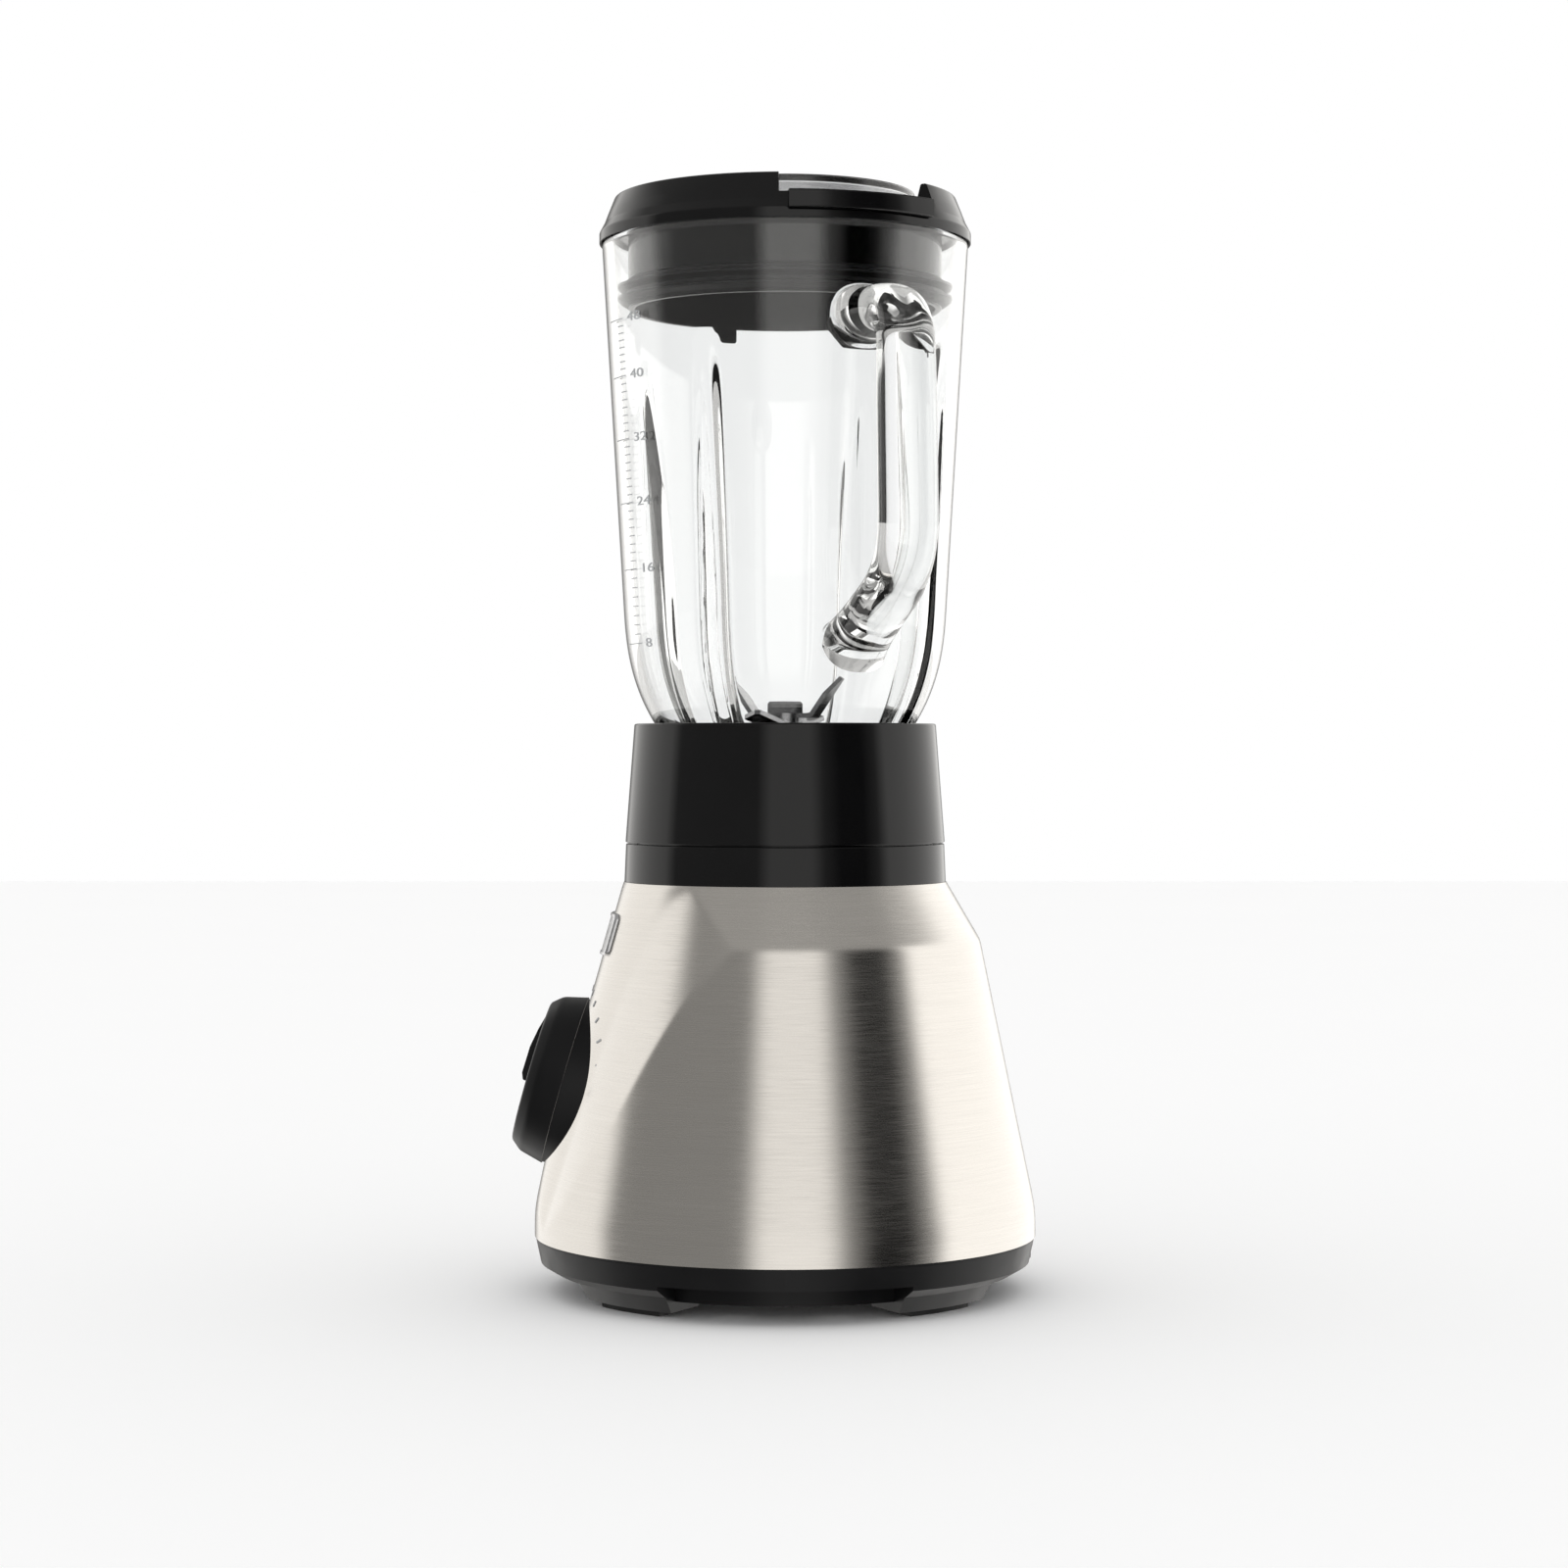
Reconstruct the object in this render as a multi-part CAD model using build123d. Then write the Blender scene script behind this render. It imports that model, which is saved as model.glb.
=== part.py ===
from build123d import *
import math
import os

os.makedirs("parts", exist_ok=True)

# Countertop blender, in millimetres. +Z is up, the floor is z = 0 and the motor axis is the Z axis.
# The control panel and its knob face -Y, and the cord inlet is at +Y.

# ---- Driving dimensions: base ----
pan_clearance = 8.0            # floor to the underside of the bottom pan
leg_gap = 2.0                  # floor to the underside of the legs
foot_recess = 1.0
pan_floor = 2.5
pan_wall = 3.3
pan_bevel_height = 3.0
pan_bevel = 5.1
pan_height = 12.5              # underside of the pan to the lower edge of the steel shell
pan_lip_height = 5.5
housing_radius = 92.2          # at the top of the straight band
pan_inset = 0.7                # the pan stands in from the band
pan_ring_radius = 77.0         # ring wall under the pan
pan_ring_wall = 2.5
pan_ring_drop = 2.5            # how far the ring wall hangs below the pan
arch_rise = 4.5                # underside of the pan to the top of the side arches
leg_angle = 31.0
leg_inner = 60.0
leg_sole_radius = 80.5
leg_slope_height = 13.0        # sole of the leg to the top of its sloping outer face
foot_angle = 22.0
housing_wall = 1.2
band_height = 8.5
cone_height = 99.6
shoulder_radius = 71.7
shoulder_height = 21.2
housing_top_radius = 59.3
housing_top_opening = 36.0

# The control panel is part of a leaning cylinder, and the flank beside it is part of a leaning cone.
panel_lean = 0.285             # forward travel per unit of height
flank_radius = 62.1            # radius where the flank would meet the housing top level plus 10
flank_growth = 0.486
flank_front = 52.1
flank_lean = 0.286
flank_reference_rise = 10.0

# ---- Driving dimensions: jar seat, collar and glass ----
seat_ring_height = 14.0
seat_ring_taper = 0.8
seat_floor = 2.5
seat_wall = 3.8
seam_gap = 0.5
collar_height = 43.4
collar_taper = 3.3
collar_wall = 3.0
collar_ledge_height = 13.7     # collar lower edge to the underside of its inner ledge
collar_ledge = 4.0
collar_ledge_radius = 30.0
jar_neck_inset = 9.9           # collar top edge to the outside of the glass neck
jar_belly_radius = 59.3
jar_rim_radius = 67.3
jar_wall = 4.0
jar_rim_bevel = 1.5
jar_belly_rise = 42.3          # collar top to the foot of the straight wall
jar_height = 177.3             # collar top to rim
flute_count = 4
flute_azimuth = -27.0
flute_depth = 8.5
flute_half_width = 3.0
flute_top_gap = 55.0           # rim down to the point of a flute
handle_azimuth = 25.0
handle_width = 22.0
handle_depth = 16.5
handle_stand = 32.7            # rim to the lower end of the grip, measured outwards
handle_slant = 3.0             # how much nearer the jar its upper end is
handle_top_gap = 34.0          # rim down to the middle of the upper arm
handle_grip_drop = 87.0        # upper arm down to the lower bend
handle_root_drop = 116.0       # upper arm down to the middle of the lower root

# ---- Driving dimensions: lid and cap ----
lid_skirt_gap = 4.26           # inside of the glass to the skirt's lower edge
lid_skirt_depth = 26.0
lid_wall = 2.5
lid_brim_overhang = 0.9
lid_brim_band = 4.5
lid_crown_inset = 5.7
lid_crown_height = 16.4        # rim to the top of the crown
lid_crown_width = 2.5
lid_floor_height = 8.0         # rim to the sunk floor inside the crown
lid_well_depth = 17.0
lid_notch_azimuth = 27.0
lid_notch_angle = 57.2
nub_azimuth = 25.0
lid_tab_overhang = 2.8
lid_tab_thickness = 6.5
cap_radius = 47.7
cap_wall = 2.0
cap_top = 2.2
cap_rise = 9.0                 # cap top above the lid floor

# ---- Driving dimensions: knob and switch ----
knob_height = 76.4             # height of the knob axis where it meets the panel
knob_base_radius = 31.5
knob_taper = 3.1
knob_length = 12.5
knob_gap = 1.0
knob_wall = 2.5
knob_hub_radius = 6.5
bezel_inset = 0.5
bezel_stand = 0.5
spindle_radius = 3.0
switch_width = 26.0
switch_depth = 20.0
badge_width = 36.0
badge_height = 15.5
badge_thickness = 1.4
badge_drop = 11.1

# ---- Driving dimensions: motor ----
shaft_radius = 4.0
bearing_radius = 11.0
bearing_length = 8.0
bracket_plate = 4.0
bracket_width = 24.0
core_length = 36.0
core_width = 74.0
core_depth = 66.0
armature_radius = 18.2
air_gap = 0.6
coil_thickness = 6.0
coil_overhang = 9.0
bolt_spacing = 64.0
commutator_radius = 11.0
commutator_length = 12.0
fan_radius = 36.0
fan_depth = 12.0
fan_blades = 11
baffle_gap = 2.0
baffle_wall = 1.6
chassis_radius = 50.0
chassis_plate = 4.0
chassis_post_height = 21.6
post_circle = 44.0
post_radius = 5.0
mount_height = 7.0
stud_width = 11.0
stud_length = 11.0
coupling_radius = 13.0

# ---- Driving dimensions: blades ----
blade_shaft_radius = 4.0
blade_reach = 27.0
lower_slope = 12.0             # how steeply each pair of arms is bent up
upper_slope = 55.0
upper_reach = 20.5
blade_thickness = 1.6
blade_width = 11.0
hub_flange = 3.5
gasket_thickness = 2.0
nut_height = 4.2

# ---- Clearances ----
press_clearance = 0.03
running_clearance = 0.04
sliding_clearance = 0.4
screw_clearance = 0.1

# ---- Radii worked out from the driving dimensions ----
pan_radius = housing_radius - pan_inset
panel_radius = housing_top_radius + 0.1
seat_ring_top_radius = housing_top_radius - seat_ring_taper
collar_bottom_radius = housing_top_radius - 0.6
collar_top_radius = collar_bottom_radius - collar_taper
jar_neck_radius = collar_top_radius - jar_neck_inset
handle_reach = jar_rim_radius + handle_stand
handle_top_reach = handle_reach - handle_slant
lid_brim_radius = jar_rim_radius + lid_brim_overhang
lid_crown_radius = lid_brim_radius - lid_crown_inset
lid_tab_reach = lid_brim_radius + lid_tab_overhang
knob_face_radius = knob_base_radius - knob_taper
bezel_radius = knob_base_radius - bezel_inset

# ---- Levels worked out from the driving dimensions ----
housing_bottom_z = pan_clearance + pan_height
band_top_z = housing_bottom_z + band_height
shoulder_z = band_top_z + cone_height
housing_top_z = shoulder_z + shoulder_height
pan_inside_z = pan_clearance + pan_floor
seat_floor_z = housing_top_z + seat_floor
seat_top_z = housing_top_z + seat_ring_height
collar_bottom_z = seat_top_z + seam_gap
collar_top_z = collar_bottom_z + collar_height
ledge_z = collar_bottom_z + collar_ledge_height + collar_ledge
neck_bottom_z = ledge_z + hub_flange + gasket_thickness
rim_z = collar_top_z + jar_height
belly_z = collar_top_z + jar_belly_rise
jar_lean = (jar_rim_radius - jar_belly_radius) / (rim_z - belly_z)
lid_skirt_radius = jar_rim_radius - jar_lean * lid_skirt_depth - jar_wall - lid_skirt_gap
neck_top_z = collar_top_z - 3.2
lid_floor_z = rim_z + lid_floor_height
chassis_z = housing_top_z - housing_wall - chassis_post_height - chassis_plate
upper_bracket_z = chassis_z - mount_height - bracket_plate
core_top_z = upper_bracket_z - 12.0
core_bottom_z = core_top_z - core_length
lower_bracket_z = core_bottom_z - 26.0
commutator_z = lower_bracket_z + bracket_plate + 2.0
fan_z = lower_bracket_z - 20.0
stud_z = seat_floor_z + 0.5
coupling_z = stud_z + 4.0
shell_tab_z = pan_inside_z + 19.5

seat_inner_radius = housing_top_radius - seat_wall
skirt_radius = seat_inner_radius - 2.0 * sliding_clearance
skirt_inner_radius = skirt_radius - collar_wall
cap_well_radius = cap_radius + sliding_clearance
spindle_bore = spindle_radius + running_clearance


# ---- Small helpers ----
def save(name, *solids):
    """Write one node: a single solid, or a group of separate ones."""
    flat = [solid for shape in solids for solid in shape.solids()]
    shape = flat[0] if len(flat) == 1 else Compound(children=flat)
    export_step(shape, f"parts/{name}.step")


def disc(radius, z_low, z_high, x=0.0, y=0.0):
    low = (Align.CENTER, Align.CENTER, Align.MIN)
    return Pos(x, y, z_low) * Cylinder(radius, z_high - z_low, align=low)


def ring(outer, inner, z_low, z_high, x=0.0, y=0.0):
    return disc(outer, z_low, z_high, x, y) - disc(inner, z_low - 1.0, z_high + 1.0, x, y)


def block(x_range, y_range, z_range):
    size = [high - low for low, high in (x_range, y_range, z_range)]
    middle = [(high + low) / 2 for low, high in (x_range, y_range, z_range)]
    return Pos(*middle) * Box(*size)


def turned(points, arc=360.0, start=0.0):
    """Turn an outline of (radius, height) points about the Z axis, centred on the azimuth start."""
    face = make_face(Polyline(*[(radius, 0, height) for radius, height in points], close=True))
    solid = revolve(face, axis=Axis.Z, revolution_arc=arc)
    turn = start - arc / 2 if arc < 360 else 0.0
    return Rot(0, 0, turn) * solid


def around(shape, azimuths):
    return [Rot(0, 0, azimuth) * shape for azimuth in azimuths]


def fused(shapes):
    whole = shapes[0]
    for shape in shapes[1:]:
        whole = whole + shape
    return whole


def screw(head_radius, head_height, shank_radius, length):
    """A pan-head screw with its shank up +Z from z = 0 and its cross-slotted head below."""
    head = disc(head_radius, -head_height, 0)
    slot_size = (head_radius * 1.2, head_radius * 0.3, head_height)
    slot = Pos(0, 0, -head_height) * Box(*slot_size)
    cross = Pos(0, 0, -head_height) * Rot(0, 0, 90) * Box(*slot_size)
    return head + disc(shank_radius, 0, length) - slot - cross


def corners(x, y):
    return [(x, y), (-x, y), (-x, -y), (x, -y)]


four_corners = [45, 135, 225, 315]
side_tabs = [15, 165, 195, 345]


# ---- Steel housing ----
def leaning_solid(radius_at, centre_at, z_low, z_high):
    low = Pos(0, centre_at(z_low), z_low) * Circle(radius_at(z_low))
    high = Pos(0, centre_at(z_high), z_high) * Circle(radius_at(z_high))
    return loft([low, high], ruled=True)


def panel_solid(inset, z_low, z_high):
    def centre(z):
        return -panel_lean * (housing_top_z - z)
    return leaning_solid(lambda z: panel_radius - inset, centre, z_low, z_high)


def flank_solid(inset, z_low, z_high):
    def drop(z):
        return housing_top_z + flank_reference_rise - z

    def radius(z):
        return flank_radius + flank_growth * drop(z)

    def centre(z):
        return radius(z) - flank_front - flank_lean * drop(z)
    return leaning_solid(lambda z: radius(z) - inset, centre, z_low, z_high)


def housing_envelope(inset, z_low, z_high):
    """The solid inside the housing's outer surface, moved inwards by inset."""
    overlap = 5.0
    round_body = turned([
        (0, z_low),
        (pan_radius + 0.3 - inset, z_low),
        (housing_radius - inset, band_top_z),
        (shoulder_radius - inset, shoulder_z),
        (housing_top_radius - inset, z_high),
        (0, z_high),
    ])
    panel = panel_solid(inset, z_low - overlap, z_high + overlap)
    flank = flank_solid(inset, z_low - overlap, z_high + overlap)
    return round_body & (panel + flank)


knob_plane = Plane(
    origin=(0, -panel_radius - panel_lean * (housing_top_z - knob_height), knob_height),
    x_dir=(1, 0, 0),
    z_dir=(0, -1, panel_lean),
)


def on_knob_axis(shape):
    return knob_plane.location * shape


panel_hole_radius = 6.0
dial_screw_spacing = 44.0
outer_envelope = housing_envelope(0, housing_bottom_z, housing_top_z)
inner_envelope = housing_envelope(housing_wall, housing_bottom_z - 1.0, housing_top_z - housing_wall)

shell = outer_envelope - inner_envelope
shell -= disc(housing_top_opening, housing_top_z - 5.0, housing_top_z + 5.0)
shell -= on_knob_axis(disc(panel_hole_radius, -15, 5))
for side in (-1, 1):
    shell -= on_knob_axis(disc(1.8, -20, 5, x=side * dial_screw_spacing / 2))
for azimuth in four_corners:
    shell -= Rot(0, 0, azimuth) * disc(2.2, housing_top_z - 5, housing_top_z + 5, x=post_circle)
save("housing_shell", shell)

# Each steel tab is welded inside the band and takes one screw of the pan.
tab_thickness = 1.5
tab_half_width = 7.0
tab_inner_radius = 62.0
tab_screw_circle = 70.0
tab_boss_radius = 5.0
tab_band = inner_envelope - housing_envelope(housing_wall + tab_thickness, housing_bottom_z - 2.0,
                                             housing_top_z - housing_wall - tab_thickness)
tabs = []
for azimuth in side_tabs:
    width = (-tab_half_width, tab_half_width)
    reach = block((tab_inner_radius, 110), width, (shell_tab_z, shell_tab_z + tab_thickness))
    upright = block((60, 110), width, (shell_tab_z, shell_tab_z + 14.0))
    hole = disc(1.9, shell_tab_z - 1, shell_tab_z + 3, x=tab_screw_circle)
    tab = (Rot(0, 0, azimuth) * reach) & inner_envelope
    tab = tab + ((Rot(0, 0, azimuth) * upright) & tab_band)
    tabs.append(tab - Rot(0, 0, azimuth) * hole)
save("housing_tabs", *tabs)

badge_z = housing_top_z - badge_drop
badge_low_z = badge_z - badge_height
badge = panel_solid(-badge_thickness, badge_low_z, badge_z) - panel_solid(0, badge_low_z - 1, badge_z + 1)
badge &= block((-badge_width / 2, badge_width / 2), (-120, 0), (badge_low_z, badge_z))
save("badge_plate", badge)

# ---- Bottom pan, feet and their screws ----
pan_lip_outer = pan_radius + 0.3 - housing_wall - sliding_clearance
pan_inner_radius = pan_radius - pan_wall
pan = turned([
    (0, pan_clearance),
    (pan_radius - pan_bevel - 1.8, pan_clearance),
    (pan_radius - 1.8, pan_clearance + pan_bevel_height),
    (pan_radius, housing_bottom_z - 1.0),
    (pan_radius, housing_bottom_z),
    (pan_lip_outer, housing_bottom_z),
    (pan_lip_outer, housing_bottom_z + pan_lip_height),
    (pan_inner_radius, housing_bottom_z + pan_lip_height),
    (pan_inner_radius, pan_inside_z),
    (0, pan_inside_z),
])
arch_top_z = pan_clearance + arch_rise
ring_inner = pan_ring_radius - pan_ring_wall
arch_angle = 90.0 - leg_angle
for azimuth in (0, 180):
    pan += turned([
        (ring_inner, pan_clearance + 1.0),
        (pan_inner_radius - 2.7, pan_clearance + 1.0),
        (pan_inner_radius + 0.3, pan_clearance + pan_bevel_height),
        (pan_inner_radius + 0.3, arch_top_z + pan_floor),
        (ring_inner, arch_top_z + pan_floor),
    ], arch_angle + 4.0, azimuth)
    pan -= turned([
        (pan_ring_radius, 0),
        (pan_radius + 5.0, 0),
        (pan_radius + 5.0, arch_top_z),
        (pan_ring_radius, arch_top_z),
    ], arch_angle, azimuth)
pan += ring(pan_ring_radius, ring_inner, pan_clearance - pan_ring_drop, pan_clearance + 1.0)
leg_outline = [
    (leg_inner, pan_clearance + 1.0),
    (pan_inner_radius - 2.2, pan_clearance + 1.0),
    (pan_inner_radius + 0.4, leg_gap + leg_slope_height),
    (leg_sole_radius, leg_gap),
    (leg_inner + 2.0, leg_gap),
]
foot_inner = leg_inner + 5.0
foot_outer = leg_sole_radius - 2.0
for azimuth in four_corners:
    pan += turned(leg_outline, leg_angle, azimuth)
    pan -= turned([
        (foot_inner - screw_clearance, leg_gap - 1.0),
        (foot_outer + screw_clearance, leg_gap - 1.0),
        (foot_outer + screw_clearance, leg_gap + foot_recess),
        (foot_inner - screw_clearance, leg_gap + foot_recess),
    ], foot_angle + 0.2, azimuth)
for azimuth in side_tabs:
    pan += Rot(0, 0, azimuth) * disc(tab_boss_radius, pan_inside_z - 1.0, shell_tab_z, x=tab_screw_circle)
    pan -= Rot(0, 0, azimuth) * disc(2.0, pan_clearance - 1, shell_tab_z + 1, x=tab_screw_circle)
    pan -= Rot(0, 0, azimuth) * disc(4.0, pan_clearance - 1, pan_clearance + 2.4, x=tab_screw_circle)
board_z = pan_inside_z + 15.5
board_thickness = 1.6
board_half_x = 27.0
board_half_y = 16.0
board_middle_y = -(fan_radius + baffle_gap + baffle_wall + board_half_y + 8.4)
board_hole_x = 22.0
board_hole_y = 12.0
for x, y in corners(board_hole_x, board_hole_y):
    pan += disc(3.5, pan_inside_z - 1.0, board_z, x, board_middle_y + y)
    pan -= disc(1.35, board_z - 9.0, board_z + 1.0, x, board_middle_y + y)
vent_width = 3.0
for index in range(16):
    slot = block((22, 34), (-vent_width / 2, vent_width / 2), (pan_clearance - 1, pan_inside_z + 1))
    pan -= Rot(0, 0, index * 22.5) * slot
for index in range(24):
    slot = block((44, 53), (-vent_width / 2, vent_width / 2), (pan_clearance - 1, pan_inside_z + 1))
    if abs(index * 15 - 270) > 30:
        pan -= Rot(0, 0, index * 15) * slot

# ---- Cord inlet: a bushing in the rear of the pan ----
inlet_bore = 3.4
inlet_radius = 4.4
inlet_z = pan_inside_z + 4.9
inlet_nose_y = pan_radius - 1.2
inlet_tail_y = pan_inner_radius - 6.0


def along_y(shape):
    """Turn a shape built up +Z so that it points along +Y at the cord inlet."""
    return Pos(0, 0, inlet_z) * Rot(-90, 0, 0) * shape


pan -= along_y(disc(inlet_radius + screw_clearance, pan_inner_radius - 5.0, pan_radius + 5.0))
save("bottom_pan", pan)
bushing = disc(inlet_radius, inlet_tail_y, inlet_nose_y)
bushing += disc(inlet_radius + 0.5, inlet_tail_y, pan_inner_radius - 1.5)
bushing -= disc(inlet_bore, inlet_tail_y - 1.0, inlet_nose_y + 1.0)
save("cord_inlet_bushing", along_y(bushing))

foot_outline = [(foot_inner, 0), (foot_outer, 0), (foot_outer, leg_gap + foot_recess),
                (foot_inner, leg_gap + foot_recess)]
save("rubber_feet", *[turned(foot_outline, foot_angle, azimuth) for azimuth in four_corners])
pan_screw = screw(3.6, 2.2, 1.8, shell_tab_z - pan_clearance + 2.0)
pan_screw_place = Pos(tab_screw_circle, 0, pan_clearance + 2.4) * pan_screw
save("pan_screws", *around(pan_screw_place, side_tabs))

# ---- Control board ----
board = block((-board_half_x, board_half_x), (board_middle_y - board_half_y, board_middle_y + board_half_y),
              (board_z, board_z + board_thickness))
board_top_z = board_z + board_thickness
board_screws = []
for x, y in corners(board_hole_x, board_hole_y):
    board -= disc(1.5, board_z - 1, board_top_z + 1, x, board_middle_y + y)
    head_down = Pos(x, board_middle_y + y, board_top_z) * Rot(180, 0, 0)
    board_screws.append(head_down * screw(2.6, 1.6, 1.3, 9.0))
save("control_board", board)
save("board_screws", *board_screws)
heat_sink = block((4, 16), (board_middle_y - 12, board_middle_y + 4), (board_top_z, board_top_z + 3))
for index in range(5):
    fin_x = 4 + index * 2.6
    heat_sink += block((fin_x, fin_x + 1.2), (board_middle_y - 12, board_middle_y + 4),
                       (board_top_z, board_top_z + 16))
capacitor = disc(5.0, board_top_z, board_top_z + 15, -12, board_middle_y - 7)
choke = ring(6.5, 3.0, board_top_z, board_top_z + 6, -10, board_middle_y + 7)
save("board_components", heat_sink, capacitor, choke)

terminal_x = 34.0
terminal_y = 52.0
terminal = block((terminal_x - 12, terminal_x + 12), (terminal_y - 6, terminal_y + 6),
                 (pan_inside_z, pan_inside_z + 13))
for index in range(3):
    terminal -= disc(2.2, pan_inside_z + 8, pan_inside_z + 20, terminal_x - 8 + index * 8, terminal_y)
save("terminal_block", terminal)

# ---- Air baffle around the fan ----
baffle_radius = fan_radius + baffle_gap + baffle_wall
baffle_top_z = lower_bracket_z - 3.6
baffle = ring(baffle_radius, baffle_radius - baffle_wall, pan_inside_z, baffle_top_z)
baffle += ring(baffle_radius, fan_radius - 6.0, baffle_top_z - baffle_wall, baffle_top_z)
save("air_baffle", baffle)

# ---- Motor: chassis, brackets, bearings and stator ----
chassis = disc(chassis_radius, chassis_z, chassis_z + chassis_plate)
chassis -= disc(bearing_radius + 4.0, chassis_z - 1, chassis_z + chassis_plate + 1)
post_top_z = housing_top_z - housing_wall
chassis += fused(around(disc(post_radius, chassis_z + 1.0, post_top_z, x=post_circle), four_corners))
for azimuth in four_corners:
    chassis -= Rot(0, 0, azimuth) * disc(2.2, chassis_z - 1, post_top_z + 1, x=post_circle)
mount_x = 20.0
mount_y = 8.0
for x, y in corners(mount_x, mount_y):
    chassis -= disc(1.9, chassis_z - 1, chassis_z + chassis_plate + 1, x, y)
save("motor_chassis", chassis)

seat_boss_z = seat_floor_z + 5.7
ring_screw = screw(3.8, 2.4, 2.1, seat_boss_z - chassis_z - 2.0)
save("seat_ring_screws", *around(Pos(post_circle, 0, chassis_z) * ring_screw, four_corners))

mounts = []
chassis_screws = []
for x, y in corners(mount_x, mount_y):
    mounts.append(ring(4.5, 1.9, upper_bracket_z + bracket_plate, chassis_z, x, y))
    head_down = Pos(x, y, chassis_z + chassis_plate) * Rot(180, 0, 0)
    screw_length = chassis_plate + mount_height + bracket_plate + 0.5
    chassis_screws.append(head_down * screw(3.4, 2.2, 1.7, screw_length))
save("vibration_mounts", *mounts)
save("chassis_screws", *chassis_screws)

bolt_x = bolt_spacing / 2
bracket_half = bracket_width / 2
bracket_foot_y = 9.0
bearing_bore = shaft_radius + running_clearance


def bearing_bracket(plate_z, foot_low_z, foot_high_z, boss_z):
    """A cast bar with two feet on the stator, and a boss that holds a bearing."""
    bar = block((-core_width / 2, core_width / 2), (-bracket_half, bracket_half),
                (plate_z, plate_z + bracket_plate))
    bar += disc(bearing_radius + 3.0, boss_z, boss_z + bearing_length)
    for side in (-1, 1):
        foot_x = sorted((side * (bolt_x - 5.0), side * core_width / 2))
        bar += block(foot_x, (-bracket_foot_y, bracket_foot_y), (foot_low_z, foot_high_z))
        bar -= disc(2.2, foot_low_z - 30, foot_high_z + 30, x=side * bolt_x)
    return bar - disc(bearing_radius, boss_z - 10, boss_z + bearing_length + 10)


upper_bracket = bearing_bracket(upper_bracket_z, core_top_z, upper_bracket_z + 1.0, upper_bracket_z)
for x, y in corners(mount_x, mount_y):
    upper_bracket -= disc(1.8, upper_bracket_z - 1, upper_bracket_z + bracket_plate + 1, x, y)
save("upper_bearing_bracket", upper_bracket)

brush_arm = 36.0
brush_half = 4.5
lower_boss_z = lower_bracket_z + bracket_plate - bearing_length
lower_bracket = bearing_bracket(lower_bracket_z, lower_bracket_z + bracket_plate - 1.0, core_bottom_z,
                                lower_boss_z)
for side in (-1, 1):
    arm_y = sorted((side * (bracket_half - 1.0), side * brush_arm))
    lower_bracket += block((-brush_half - 2, brush_half + 2), arm_y,
                           (lower_bracket_z, lower_bracket_z + bracket_plate))
save("lower_bearing_bracket", lower_bracket)

save("upper_bearing", ring(bearing_radius, bearing_bore, upper_bracket_z, upper_bracket_z + bearing_length))
save("lower_bearing", ring(bearing_radius, bearing_bore, lower_boss_z, lower_boss_z + bearing_length))

window_inner = 16.0
window_outer = window_inner + coil_thickness + 0.5
coil_inner_y = armature_radius + 3.3
stator = block((-core_width / 2, core_width / 2), (-core_depth / 2, core_depth / 2),
               (core_bottom_z, core_top_z))
stator = fillet(stator.edges().filter_by(Axis.Z), 12.0)
stator -= disc(armature_radius + air_gap, core_bottom_z - 1, core_top_z + 1)
coils = []
for side in (-1, 1):
    stator -= disc(2.2, core_bottom_z - 1, core_top_z + 1, x=side * bolt_x)
    window_y = sorted((side * (coil_inner_y - 0.2), side * (coil_inner_y + coil_thickness + 0.2)))
    for hand in (-1, 1):
        window_x = sorted((hand * window_inner, hand * window_outer))
        stator -= block(window_x, window_y, (core_bottom_z - 1, core_top_z + 1))
    coil_y = sorted((side * coil_inner_y, side * (coil_inner_y + coil_thickness)))
    outer_x = window_outer - 0.2
    inner_x = window_inner + 0.2
    coil = block((-outer_x, outer_x), coil_y, (core_bottom_z - coil_overhang, core_top_z + coil_overhang))
    coil = fillet(coil.edges().filter_by(Axis.Y), 4.0)
    coils.append(coil - block((-inner_x, inner_x), (-60, 60), (core_bottom_z - 0.5, core_top_z + 0.5)))
save("stator_core", stator)
save("field_coils", *coils)

bolt_top_z = upper_bracket_z + bracket_plate
bolt_length = bolt_top_z - lower_bracket_z
through_bolts = []
for side in (-1, 1):
    head_down = Pos(side * bolt_x, 0, bolt_top_z) * Rot(180, 0, 0)
    through_bolts.append(head_down * screw(3.6, 2.6, 2.1, bolt_length))
save("motor_through_bolts", *through_bolts)

# Two carbon brushes slide in boxes on the lower bracket and press on the commutator.
brush_z = commutator_z + 5.0
brush_width = 6.0
brush_height = 8.0
holder_inner_y = commutator_radius + 1.5
holder_outer_y = brush_arm - 1.0
holder_top_z = core_bottom_z - coil_overhang - 0.5
brush_box = block((-brush_half, brush_half), (holder_inner_y, holder_outer_y),
                  (lower_bracket_z + bracket_plate, holder_top_z))
brush_slot = (brush_width / 2 + 0.05, brush_height / 2 + 0.05)
brush_box -= block((-brush_slot[0], brush_slot[0]), (holder_inner_y - 1, holder_outer_y - 1.5),
                   (brush_z - brush_slot[1], brush_z + brush_slot[1]))
brush_end_y = commutator_radius + 11.0
brush = block((-brush_width / 2, brush_width / 2), (commutator_radius + 0.1, brush_end_y),
              (brush_z - brush_height / 2, brush_z + brush_height / 2))
spring_length = holder_outer_y - 1.5 - brush_end_y
spring_wire = 0.35
spring_radius = 2.4
spring_path = Helix(pitch=1.6, height=spring_length - 2 * spring_wire, radius=spring_radius)
spring_profile = Plane(origin=spring_path @ 0, z_dir=spring_path % 0) * Circle(spring_wire)
spring = sweep(spring_profile, path=spring_path)
spring = Pos(0, brush_end_y + spring_wire, brush_z) * Rot(-90, 0, 0) * spring
save("brush_holders", brush_box, Rot(0, 0, 180) * brush_box)
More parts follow.
